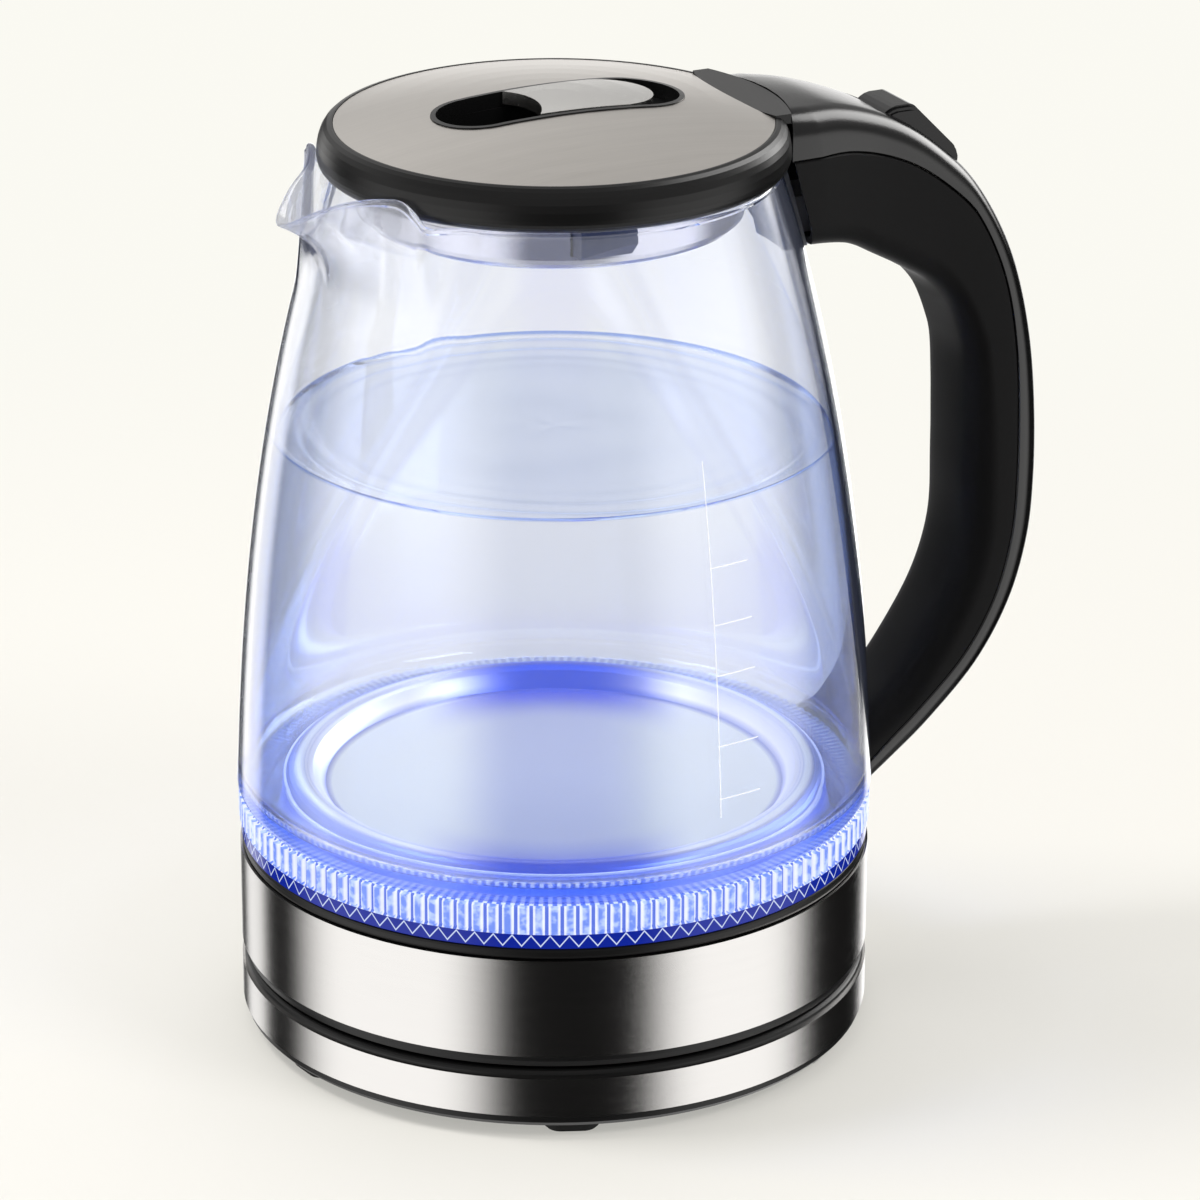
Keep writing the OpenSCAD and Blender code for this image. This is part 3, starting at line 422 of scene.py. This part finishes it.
# the plate's emission is a painted glow: its painted tones warmed, and blue in the painted pool
painted_glow = plate.node("ShaderNodeMix", multiply, {0: 1, 6: tone, 7: (0.95, 0.86, 0.50)}, 2)
plate.set("Emission Color", plate.blend(painted_blue_pool, painted_glow, (0.0, 0.05, 0.70)))
plate.set("Roughness", 0.30 + rings * 0.06)
relief(plate, rings, 0.00002, 0.15)
dress(plate, "heating_plate")

# the seals carry a painted blue glow: blue emission, though they are no lamp
silicone = material("clear_silicone_painted_glow", {"Emission Strength": 0.35})
cloud = noise(silicone, place(silicone), 60)
silicone.set("Base Color", silicone.blend(cloud, (0.62, 0.68, 0.85), (0.78, 0.83, 0.95)))
silicone.set("Roughness", 0.3 + cloud * 0.15)
silicone.set("Emission Color", silicone.blend(cloud, (0.08, 0.18, 0.75), (0.2, 0.35, 0.95)))
dress(silicone, "plate_seal", "lid_seal")

# ---------------------------------------------------------------------------------
# Light ring: one clear acrylic moulding under the glass, with a crown of upright ribs
# over a zigzag of small prisms, lit from below by the blue lamps.
# ---------------------------------------------------------------------------------


def finished(bm, name, finish, body, smooth=35):
    """Makes the piece from its bmesh, with its finish, and sets it on its body."""
    mesh = bpy.data.meshes.new(name)
    bm.to_mesh(mesh)
    bm.free()
    for face in mesh.polygons:
        face.use_smooth = True
    mesh.set_sharp_from_angle(angle=math.radians(smooth))
    mesh.materials.append(finish.material)
    piece = bpy.data.objects.new(name, mesh)
    bpy.context.scene.collection.objects.link(piece)
    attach(piece, body)
    return piece


def spun(bm, profile, steps, closed=True):
    """A profile of (radius, height) in millimetres, spun round the axis."""
    line = [bm.verts.new((r / 1000, 0, z / 1000)) for r, z in profile]
    ends = line[1:] + line[:1] if closed else line[1:]
    edges = [bm.edges.new(pair) for pair in zip(line, ends)]
    bmesh.ops.spin(
        bm, geom=line + edges, axis=(0, 0, 1), cent=(0, 0, 0), steps=steps,
        angle=math.tau, use_merge=True,
    )
    bmesh.ops.remove_doubles(bm, verts=bm.verts, dist=1e-6)
    bmesh.ops.recalc_face_normals(bm, faces=bm.faces)


rib_count = 132
rib_deep, rib_wide, rib_tall, rib_corner = 0.0013, 0.00262, 0.0059, 0.00055
notch_slope, notch_half = 0.9, 0.0009
ring_in, ring_out, rib_middle = 70.0, 75.7, 75.5
ring_low, ring_high = (corner.z * 1000 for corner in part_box("light_ring"))
crown = ring_low + 4.1
bm = bmesh.new()
spun(bm, [
    (ring_in, ring_low), (ring_out - 0.15, ring_low), (ring_out, ring_low + 0.15),
    (ring_out, crown - 0.5), (ring_out - 0.5, crown - 0.1), (ring_out - 0.55, ring_high - 0.4),
    (ring_out - 0.9, ring_high), (ring_in, ring_high),
], rib_count)
for index in range(rib_count):
    size = Matrix.Diagonal((rib_deep, rib_wide, rib_tall, 1))
    verts = bmesh.ops.create_cube(bm, size=1, matrix=size)["verts"]
    edges = {edge for vert in verts for edge in vert.link_edges}
    tall = [e for e in edges if abs((e.verts[0].co - e.verts[1].co).z) > 1e-4]
    front = [e for e in tall if e.verts[0].co.x > 0]
    made = bmesh.ops.bevel(bm, geom=front, offset=rib_corner, offset_type="OFFSET", segments=1,
                           affect="EDGES", profile=0.5, material=-1)
    verts = {vert for face in made["faces"] for vert in face.verts} | {v for v in verts if v.is_valid}
    for vert in verts:
        if vert.co.z < 0:  # the rib's foot is cut to a shallow V
            vert.co.z += notch_slope * (abs(vert.co.y) - notch_half)
    around = Matrix.Rotation(math.tau * (index + 0.5) / rib_count, 4, "Z")
    to_wall = Matrix.Translation((rib_middle / 1000, 0, (crown + ring_high - 0.2) / 2000))
    bmesh.ops.transform(bm, matrix=around @ to_wall, verts=list(verts))

ribs = material("lit_acrylic_painted_glints", {"Emission Strength": 0.85, "Specular IOR Level": 0.2})
point = place(ribs)
across, along, up = (ribs.node("ShaderNodeSeparateXYZ", None, (point,), axis) for axis in range(3))
bearing = ribs.node("ShaderNodeMath", {"operation": "ARCTAN2"}, (along, across))
whole_steps = 2000  # added so that the fraction is always of a positive number


def beat(count):
    """0 in the middle of each of count equal steps round the axis, 1 between two."""
    steps = bearing * (count / math.tau) + whole_steps
    step = ribs.node("ShaderNodeMath", {"operation": "FRACT"}, (steps,))
    return ribs.node("ShaderNodeMath", {"operation": "ABSOLUTE"}, (step * 2 - 1,))


bubble = noise(ribs, point, 420, 2)
between = beat(rib_count)
lit = ribs.blend(ribs.rise(bubble, 0.42, 0.66), (0.10, 0.20, 0.80), (0.50, 0.62, 1.0))
# the lens glows from the lamps below, and the white at the edges of each rib is a painted highlight
lit = ribs.blend(ribs.rise(between, 0.30, 0.62) * 0.85, lit, (1.0, 1.0, 1.0))
# the dark blue between the ribs is painted shade
lit = ribs.blend(ribs.rise(between, 0.72, 0.80), lit, (0.03, 0.08, 0.60))
prism_count, prism_low, prism_tall = 108, (ring_low + 0.6) / 1000, 0.0027
zigzag = up - prism_low - beat(prism_count) * prism_tall
ridge = ribs.node("ShaderNodeMath", {"operation": "ABSOLUTE"}, (zigzag,))
# the white lines along the zigzag are painted glints on the prisms
painted_prism_glints = ribs.blend(1 - ribs.rise(ridge, 0.00012, 0.00032), (0.002, 0.012, 0.26), (0.72, 0.82, 1.0))
is_rib = ribs.rise(up, (crown - 0.62) / 1000, (crown - 0.5) / 1000)
lit = ribs.blend(is_rib, painted_prism_glints, lit)
tick_count = 216
# the fine white ticks on the top face are painted glints
painted_tick_glints = ribs.rise(beat(tick_count), 0.42, 0.62)
is_top = ribs.rise(up, (ring_high - 0.12) / 1000, (ring_high - 0.04) / 1000)
lit = ribs.blend(is_top, lit, ribs.blend(painted_tick_glints, (0.03, 0.09, 0.62), (0.70, 0.80, 1.0)))
ribs.set("Emission Color", lit)
ribs.set("Base Color", ribs.blend(is_rib, (0.004, 0.010, 0.10), (0.12, 0.16, 0.30)))
ribs.set("Roughness", 0.08 + bubble * 0.1)
light_ring = finished(bm, "light_ring_lens", ribs, "jug", 25)
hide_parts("light_ring")

# ---------------------------------------------------------------------------------
# Glass jug: borosilicate glass, blown in a mould and drawn out to a spout while soft,
# with a fire-polished rim. The floor has a round hole for the heating plate.
# ---------------------------------------------------------------------------------
foot_z, rim_z, foot_r, rim_r = 59.5, 214.0, 76.5, 52.5
glass_wall, glass_floor, floor_hole_r = 2.3, 2.8, 58.0
foot_bend, inner_bend = 3.0, 5.0


def glass_radius(z):
    """Outer radius of the wall at a height, both in millimetres."""
    u = min(max((z - foot_z) / (rim_z - foot_z), 0), 1)
    return foot_r - (foot_r - rim_r) * (0.2 * u + 0.48 * u * u + 0.32 * u**3)


def bow(cx, cz, radius, start, end, count):
    """Points along an arc of a profile, in degrees."""
    turns = [math.radians(start + (end - start) * k / count) for k in range(count + 1)]
    return [(cx + radius * math.cos(t), cz + radius * math.sin(t)) for t in turns]


wall_steps = 40
wall_low, wall_tall = foot_z + foot_bend, rim_z - foot_z - 4.2
levels = [wall_low + wall_tall * (1 - (1 - k / wall_steps) ** 1.6) for k in range(1, wall_steps + 1)]
half_wall = glass_wall / 2
inner_r = foot_r - glass_wall - inner_bend
profile = [(floor_hole_r, foot_z), (foot_r - 8, foot_z)]
profile += bow(foot_r - foot_bend, foot_z + foot_bend, foot_bend, -80, 0, 8)
profile += [(glass_radius(z), z) for z in levels]
profile += bow(rim_r - half_wall, rim_z - half_wall, half_wall, 12, 168, 10)
profile += [(glass_radius(z) - glass_wall, z) for z in reversed(levels)]
profile += bow(inner_r, foot_z + glass_floor + inner_bend, inner_bend, -5, -85, 8)
profile += [(inner_r, foot_z + glass_floor), (floor_hole_r, foot_z + glass_floor)]


def curve_at(rows, x):
    """Smooth curve through rows of (place, value)."""
    if x >= rows[-1][0]:
        return rows[-1][1]
    k = max(i for i, row in enumerate(rows) if row[0] <= x)
    at, end = rows[k], rows[k + 1]
    before, after = rows[max(k - 1, 0)], rows[min(k + 2, len(rows) - 1)]
    wide, t = end[0] - at[0], (x - at[0]) / (end[0] - at[0])
    slope = (end[1] - before[1]) / (end[0] - before[0]) * wide if k else 0.0
    leave = (after[1] - at[1]) / (after[0] - at[0]) * wide
    t2, t3 = t * t, t * t * t
    return (at[1] * (2 * t3 - 3 * t2 + 1) + slope * (t3 - 2 * t2 + t)
            + end[1] * (3 * t2 - 2 * t3) + leave * (t3 - t2))


# how far the edge is drawn out and how high it then lies, over the angle from the spout
DRAWN = [(0, 18.5), (3, 17.0), (6, 14.1), (9, 11.2), (12, 8.4), (15, 6.6), (18, 5.7), (22, 5.3),
         (31.5, 5.3), (33.5, 5.04), (36, 3.18), (39, 1.06), (42, 0), (46, 0)]
RAISED = [(0, -4.6), (3, -3.19), (6, -0.88), (9, 1.19), (12, 2.62), (15, 3.52), (18, 4.29),
          (22, 5.12), (26, 5.5), (29, 4.4), (31.5, 2.2), (33.5, 0.28), (36, 0), (46, 0)]
spout_half, spout_tall = 42, 28
middle_power, power_drop, drop_by = 2.8, 1.6, 20
bm = bmesh.new()
spun(bm, profile, 240)
for vert in bm.verts:  # draw the spout out of the rim
    away = abs(math.degrees(math.atan2(vert.co.y, -vert.co.x)))
    share = min(max((vert.co.z * 1000 - rim_z + spout_tall) / spout_tall, 0), 1)
    if away > spout_half or not share:
        continue
    power = middle_power - power_drop * min(away / drop_by, 1)
    vert.co.xy *= 1 + 0.001 * curve_at(DRAWN, away) * share**power / vert.co.xy.length
    vert.co.z += 0.001 * curve_at(RAISED, away) * share * share
bmesh.ops.recalc_face_normals(bm, faces=bm.faces)

# the glass's faint blue emission is a painted glow of the blue lamps' light
clear = material("clear_glass", {
    "Transmission Weight": 1.0, "Roughness": 0.0, "IOR": 1.42, "Coat Weight": 1.0, "Coat IOR": 1.55,
    "Coat Roughness": 0.0, "Base Color": (0.99, 0.992, 1.0), "Emission Color": (0.48, 0.56, 0.86),
    "Emission Strength": 0.022,
})
glass_out = clear.tree.nodes["Material Output"]
solid = Field(clear, clear.tree.nodes["Principled BSDF"].outputs[0])
passing = clear.node("ShaderNodeBsdfTransparent", None, {"Color": (0.94, 0.95, 0.99)})
thin = clear.node("ShaderNodeBsdfTransparent", None, {"Color": (0.955, 0.96, 0.99)})
across, up = (clear.node("ShaderNodeSeparateXYZ", None, (place(clear),), axis) for axis in (0, 2))
spout_from, spout_to, lip_low, lip_high, foot_low, foot_high = 0.044, 0.058, 0.192, 0.202, 0.060, 0.068
lip = clear.rise(across * -1, spout_from, spout_to) * clear.rise(up, lip_low, lip_high)
foot = 1 - clear.rise(up, foot_low, foot_high)
is_shadow = clear.node("ShaderNodeLightPath", None, (), "Is Shadow Ray")
body_glass = clear.shader_mix(lip * 0.5 + foot * 0.6, solid, thin)
clear.feed(glass_out.inputs["Surface"], clear.shader_mix(is_shadow, body_glass, passing))
tint = clear.node("ShaderNodeVolumeAbsorption", None, {"Color": (0.25, 0.40, 0.86), "Density": 26.0})
clear.feed(glass_out.inputs["Volume"], tint)
glass = finished(bm, "blown_glass", clear, "jug")
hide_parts("glass_jug")

# ---------------------------------------------------------------------------------
# Water: filled to a little over half, with a raised edge where it wets the glass and
# slow rings running in from the wall.
# ---------------------------------------------------------------------------------
water_z, off_glass, climb, edge_wide = 150.0, 0.15, 1.3, 1.1
ripple_reach, ripple_tall, swell_tall = 13, 0.42, 0.10
reach = glass_radius(water_z) - glass_wall - off_glass
# the underside follows the heating plate's rim and the glass's floor
line = [(0.0, 60.2), (54.0, 60.2), (56.4, 60.9), (57.6, 62.9), (59.4, 64.8), (61.1, 65.3),
        (62.9, 64.8), (64.4, 63.4), (65.4, 62.6), (inner_r, 62.5)]
line += bow(inner_r, foot_z + 7.9, inner_bend - off_glass, -85, -5, 8)
sides = [*range(70, 150, 4), water_z - 1, water_z]
line += [(glass_radius(z) - glass_wall - off_glass, z) for z in sides]
line += [(reach - 0.02, water_z + climb)]
top_steps = 44
top = [reach * (1 - (k / top_steps) ** 1.25) for k in range(1, top_steps)]
line += [(r, water_z + climb * math.exp(-(reach - r) / edge_wide)) for r in top]
line += [(0.0, water_z)]
bm = bmesh.new()
spun(bm, line, 144, closed=False)
for vert in bm.verts:
    r = vert.co.xy.length * 1000
    if vert.co.z * 1000 > water_z - 0.01 and r < reach - 0.3:
        angle = math.atan2(vert.co.y, vert.co.x)
        near = math.exp(-(((reach - r) / ripple_reach) ** 2))
        ripple = math.sin(r * 0.95 + 1.3 * math.sin(2 * angle + 0.6) + 0.5 * math.sin(5 * angle))
        swell = math.sin(r * 0.21 + 0.8 * math.sin(3 * angle))
        vert.co.z += (ripple_tall * near * ripple + swell_tall * swell) / 1000
bmesh.ops.recalc_face_normals(bm, faces=bm.faces)

water_look = material("still_water_painted_blue_light", {})
water_look.tree.nodes.remove(water_look.tree.nodes["Principled BSDF"])
water_out = water_look.tree.nodes["Material Output"]
up = water_look.node("ShaderNodeSeparateXYZ", None, (place(water_look),), 2)
facing = water_look.node("ShaderNodeLayerWeight", None, {"Blend": 0.5}, "Facing")
# the water's blue is painted light: bluer towards the bottom where the blue lamps shine in, bluer at its
# edges, and a painted blue line where it climbs the glass
pale_water = water_look.node("ShaderNodeBsdfTransparent", None, {"Color": (0.945, 0.955, 0.972)})
painted_blue_water = water_look.node("ShaderNodeBsdfTransparent", None, {"Color": (0.40, 0.55, 0.90)})
bottom_at, top_at = 0.060, water_z / 1000
depth = 1 - water_look.rise(up, bottom_at, top_at)
painted_wet_edge_line = water_look.rise(up, top_at + 0.0002, top_at + 0.0009)
painted_blue_share = facing * facing * 0.75 + depth * depth * 0.16
add = {"operation": "ADD", "use_clamp": True}
painted_blue_share = water_look.node("ShaderNodeMath", add, (painted_blue_share, painted_wet_edge_line * 0.7))
body_colour = water_look.shader_mix(painted_blue_share, pale_water, painted_blue_water)
mirror = water_look.node("ShaderNodeBsdfGlossy", None, {"Color": (0.95, 0.97, 1.0), "Roughness": 0.02})
fresnel = water_look.node("ShaderNodeFresnel", None, {"IOR": 1.33})
surface = water_look.rise(up, top_at - 0.0007, top_at - 0.0001)
water_shader = water_look.shader_mix(fresnel * (0.15 + surface * 0.85), body_colour, mirror)
water_look.feed(water_out.inputs["Surface"], water_shader)
finished(bm, "water", water_look, "jug", 60)

# ---------------------------------------------------------------------------------
# Level marks: white enamel lines, printed and fired on the outside of the glass.
# ---------------------------------------------------------------------------------


def printed(bm, low, high, start, end):
    """A thin printed patch on the wall, between two heights and two angles in degrees, in
    steps of about 6 mm and 2 degrees."""
    rows, columns = max(int((high - low) / 6), 1), max(int((end - start) / 2), 1)
    made = bmesh.ops.create_grid(bm, x_segments=columns, y_segments=rows, size=0.5)
    for vert in made["verts"]:
        z = low + (high - low) * (vert.co.y + 0.5)
        angle = math.radians(start + (end - start) * (vert.co.x + 0.5))
        r = glass_radius(z) + 0.02
        vert.co = Vector((r * math.cos(angle), r * math.sin(angle), z)) / 1000


marks_start, upright_end, ticks_end, half_tick = -85.6, -85.38, -77.0, 0.16
bm = bmesh.new()
printed(bm, 77.5, 161.7, marks_start, upright_end)
for height in (137.0, 123.6, 111.6, 94.7, 81.9):
    printed(bm, height - half_tick, height + half_tick, marks_start, ticks_end)
bmesh.ops.recalc_face_normals(bm, faces=bm.faces)
bmesh.ops.solidify(bm, geom=bm.faces, thickness=0.00004)
# the enamel has a faint painted glow: white emission, though it is no lamp
enamel = material("white_enamel_painted_glow", {"Emission Strength": 0.2, "Emission Color": (1, 1, 1), "Alpha": 0.5})
speck = noise(enamel, place(enamel), 900)
enamel.set("Base Color", enamel.blend(speck, (0.86, 0.88, 0.93), (0.95, 0.96, 1.0)))
enamel.set("Roughness", 0.35 + speck * 0.2)
finished(bm, "level_marks", enamel, "jug")

# ---------------------------------------------------------------------------------
# Grey pad: soft plastic between the glass and the handle's upper root.
# ---------------------------------------------------------------------------------
dress(moulded("grey_pad", (0.105, 0.11, 0.12), (0.14, 0.145, 0.155), 0.42), "mount_strip")

# ---------------------------------------------------------------------------------
# Handle: two moulded shells of satin black, joined along a seam on each side. The outer
# one flares to the lid and has the window for the switch; the inner one faces the fingers.
# ---------------------------------------------------------------------------------
LINE = (  # share of the rim's radius, what is added to it, the same for the height,
    # the inward angle, the depth and half the width beyond the grip's
    (1, 3.5, 1, 11.65, -77, 38.4, 8),
    (0.58, 3.71, 1, 10.35, -79, 38.1, 5),
    (0.12, 3.94, 1, 6.95, -83, 38.6, 2.5),
    (0, 12, 1, 1.85, -88, 37.4, 1.1),
    (0, 22, 1, -5.35, -92.5, 35, 0.3),
    (0, 31.5, 1, -14.45, -100, 33, 0),
    (0, 39.5, 1, -26.95, -112, 29.1, 0),
    (0, 45, 1, -40.35, -125.5, 25.3, 0),
    (0, 49, 0.87, -37.17, -143, 23, 0),
    (0, 51, 0.69, -27.36, -162, 21.3, 0),
    (0, 51.4, 0.51, -17.55, -180, 20.6, 0),
    (0, 50, 0.35, -9.1, -188, 19.9, 0),
    (0, 45.2, 0.19, -0.55, -198, 19.7, 0),
    (0, 36.2, 0.04, 7.57, -212, 18.9, 0),
    (0, 23, 0, 0.45, -230, 16.5, 0),
    (0, 11.7, 0, -8.45, -250, 17, 0),
    (0.12, 3.94, 0, -15.95, -270, 19, 0),
)
grip_half, shell_wall, edge_radius, crowned = 13.5, 2.2, 6.5, 1.1
body_r, seam_top, seam_grip, half_seam, seam_lip = 76.0, 12.4, 8.0, 0.1, 0.35
lid_side_r, pad_thick, root_r, bend_steps = 55.7, 3.6, 76.9, 8


def along_handle(s):
    """Outer point, inward direction, depth, half width and seam depth, s rows down."""
    i = min(int(s), len(LINE) - 2)
    t = s - i
    p = [LINE[min(max(k, 0), len(LINE) - 1)] for k in (i - 1, i, i + 1, i + 2)]
    row = [
        0.5 * (2 * b + (c - a) * t + (2 * a - 5 * b + 4 * c - d) * t * t
               + (3 * b - a - 3 * c + d) * t**3)
        for a, b, c, d in zip(*p)
    ]
    outer_r = body_r - (body_r - rim_r) * row[0] + row[1]
    outer = Vector((outer_r, foot_z + (rim_z - foot_z) * row[2] + row[3]))
    inward = Vector((math.cos(math.radians(row[4])), math.sin(math.radians(row[4]))))
    seam = seam_top + (seam_grip - seam_top) * min(max(s / 5, 0), 1)
    return outer, inward, row[5], grip_half + row[6], seam


def rounded_half(w, deep, inset, lip):
    """Half a shell's section, as (across, depth) from the seam over to the back."""
    bend = edge_radius - inset
    half = [(w - inset, deep)] if inset else [(w - lip, deep), (w, deep - lip)]
    for k in range(bend_steps + 1):
        turn = math.pi * k / (2 * bend_steps)
        y = w - edge_radius + bend * math.cos(turn)
        half.append((y, inset + bend * (1 - math.sin(turn)) + crowned * (y / w) ** 2))
    for share in (0.7, 0.4):
        y = (w - edge_radius) * share
        half.append((y, inset + crowned * (y / w) ** 2))
    return half


def handle_shell(outer_side, steps=112):
    """A U-shaped shell swept down the handle, its ends fitted to the lid and the jug."""
    bm = bmesh.new()
    ring = None
    for k in range(steps + 1):
        outer, inward, depth, w, seam = along_handle(k * (len(LINE) - 1) / steps)
        deep = seam - half_seam if outer_side else depth - seam - half_seam
        start = outer if outer_side else outer + inward * depth
        step = inward if outer_side else -inward
        half = rounded_half(w, deep, 0, seam_lip)
        lining = rounded_half(w, deep, shell_wall, 0)
        section = half + [(0, 0)] + [(-y, d) for y, d in reversed(half)]
        section += [(-y, d) for y, d in lining] + [(0, shell_wall)] + lining[::-1]
        spots = []
        for y, d in section:
            x, z = start.x + step.x * d, start.y + step.y * d
            if not outer_side:
                y *= grip_half / w + (1 - grip_half / w) * d / deep
            near = lid_side_r if outer_side else glass_radius(z) + pad_thick
            if k == 0:
                x = math.sqrt(near * near - y * y)
            elif k == steps:
                x = math.sqrt(root_r**2 - y * y)
            spots.append(Vector((x, y, z)) / 1000)
        if ring is None:
            verts = [bm.verts.new(spot) for spot in spots]
            ring = [bm.edges.new(pair) for pair in zip(verts, verts[1:] + verts[:1])]
            first = list(ring)
            continue
        grown = bmesh.ops.extrude_edge_only(bm, edges=ring)["geom"]
        fresh = [item for item in grown if isinstance(item, bmesh.types.BMVert)]
        verts = [next(e.other_vert(v) for e in v.link_edges if e.other_vert(v) in fresh) for v in verts]
        for vert, spot in zip(verts, spots):
            vert.co = spot
        ring = [bm.edges.get(pair) for pair in zip(verts, verts[1:] + verts[:1])]
    bmesh.ops.contextual_create(bm, geom=first)
    bmesh.ops.contextual_create(bm, geom=ring)
    bmesh.ops.triangulate(bm, faces=[face for face in bm.faces if len(face.verts) > 4])
    bmesh.ops.recalc_face_normals(bm, faces=bm.faces)
    return bm


handle_black = moulded("handle_black", (0.0040, 0.0040, 0.0042), (0.0060, 0.0060, 0.0064), 0.17, 2200)
handle_black.set("Specular IOR Level", 0.4)
grip_black = moulded("grip_black", (0.0038, 0.0038, 0.0040), (0.0056, 0.0056, 0.0060), 0.46, 2200)
grip_black.set("Specular IOR Level", 0.08)
grip = finished(handle_shell(False), "handle_inner_shell", grip_black, "jug", 40)
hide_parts("handle_body")
back = finished(handle_shell(True), "handle_outer_shell", handle_black, "jug", 40)
window_size, window_at = (0.02914, 0.0168, 0.011), (0.09305, 0, 0.21102)
window_fall, window_run = 18.4, 22.6
window_slope = math.atan2(window_fall, window_run)
leaning = Matrix.Translation(window_at) @ Matrix.Rotation(window_slope, 4, "Y")
cutter_bm = bmesh.new()
bmesh.ops.create_cube(cutter_bm, size=1, matrix=leaning @ Matrix.Diagonal((*window_size, 1)))
cutter = bpy.data.objects.new("window", bpy.data.meshes.new("window"))
cutter_bm.to_mesh(cutter.data)
cutter_bm.free()
bpy.context.scene.collection.objects.link(cutter)
cut = back.modifiers.new("window", "BOOLEAN")
cut.operation, cut.solver, cut.object = "DIFFERENCE", "EXACT", cutter
shaped = back.evaluated_get(bpy.context.evaluated_depsgraph_get())
cut_mesh = bpy.data.meshes.new_from_object(shaped)
back.modifiers.clear()
back.data = cut_mesh
bpy.data.objects.remove(cutter)
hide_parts("handle_cover")

# ---------------------------------------------------------------------------------
# Rocker switch: gloss black ABS, rocking on a steel pin in the top of the handle.
# ---------------------------------------------------------------------------------
gloss_black = moulded("gloss_black", (0.005, 0.005, 0.0055), (0.008, 0.008, 0.0085), 0.14, 900)
dress(gloss_black, "switch_lever")

# ---------------------------------------------------------------------------------
# Lid: a satin black ring with the tab that meets the handle, and a domed plate of
# brushed stainless steel snapped into it.
# ---------------------------------------------------------------------------------
lid_black = moulded("lid_black", (0.0044, 0.0044, 0.0046), (0.0066, 0.0066, 0.0069), 0.30, 2400)
dress(lid_black, "lid_ring")

lid_steel = material("brushed_lid_steel", {"Metallic": 1.0})
brushed_along = {"Rotation": (0, 0, math.radians(26)), "Scale": (6, 160, 1)}
at = lid_steel.node("ShaderNodeTexCoord", None, (), "Object")
hair_at = lid_steel.node("ShaderNodeMapping", {"vector_type": "POINT"}, {"Vector": at, **brushed_along})
hair = noise(lid_steel, hair_at, 12, 6, 0.7)
cloud = noise(lid_steel, hair_at, 2.2, 3)
tone = hair * 0.55 + cloud * 0.45
lid_steel.set("Base Color", lid_steel.blend(tone, (0.50, 0.475, 0.445), (0.68, 0.65, 0.615)))
lid_steel.set("Roughness", 0.27 + tone * 0.12)
relief(lid_steel, hair, 0.00003, 0.4)
dress(lid_steel, "lid_plate")

# ---------------------------------------------------------------------------------
# Finger well and lever: a deep black moulded well with a fine bezel, and the die-cast
# lever that slides in it and draws both catches in.
# ---------------------------------------------------------------------------------
dress(moulded("well_black", (0.004, 0.004, 0.0042), (0.007, 0.007, 0.0072), 0.28), "lid_well")
lever_metal = material("satin_nickel", {"Metallic": 1.0})
grain = noise(lever_metal, place(lever_metal), 1600, 2)
lever_metal.set("Base Color", lever_metal.blend(grain, (0.66, 0.645, 0.625), (0.76, 0.75, 0.73)))
lever_metal.set("Roughness", 0.20 + grain * 0.10)
relief(lever_metal, grain, 0.00002, 0.3)
dress(lever_metal, "lid_lever")

# ---------------------------------------------------------------------------------
# Under the lid: the carrier with its slide, the pressed steel inner cover that faces
# the water, and the two catches that spring out under the glass rim.
# ---------------------------------------------------------------------------------
carrier_grey = moulded("carrier_grey", (0.02, 0.02, 0.022), (0.03, 0.03, 0.032), 0.5)
dress(carrier_grey, "lid_carrier", "slide_plate")
dress(brushed_round("inner_cover_steel", (0.62, 0.62, 0.66), 0.12, 60), "lid_inner_cover")
navy = moulded("catch_navy", (0.008, 0.018, 0.075), (0.014, 0.030, 0.115), 0.3, 1800)
dress(navy, "catch_front", "catch_back")
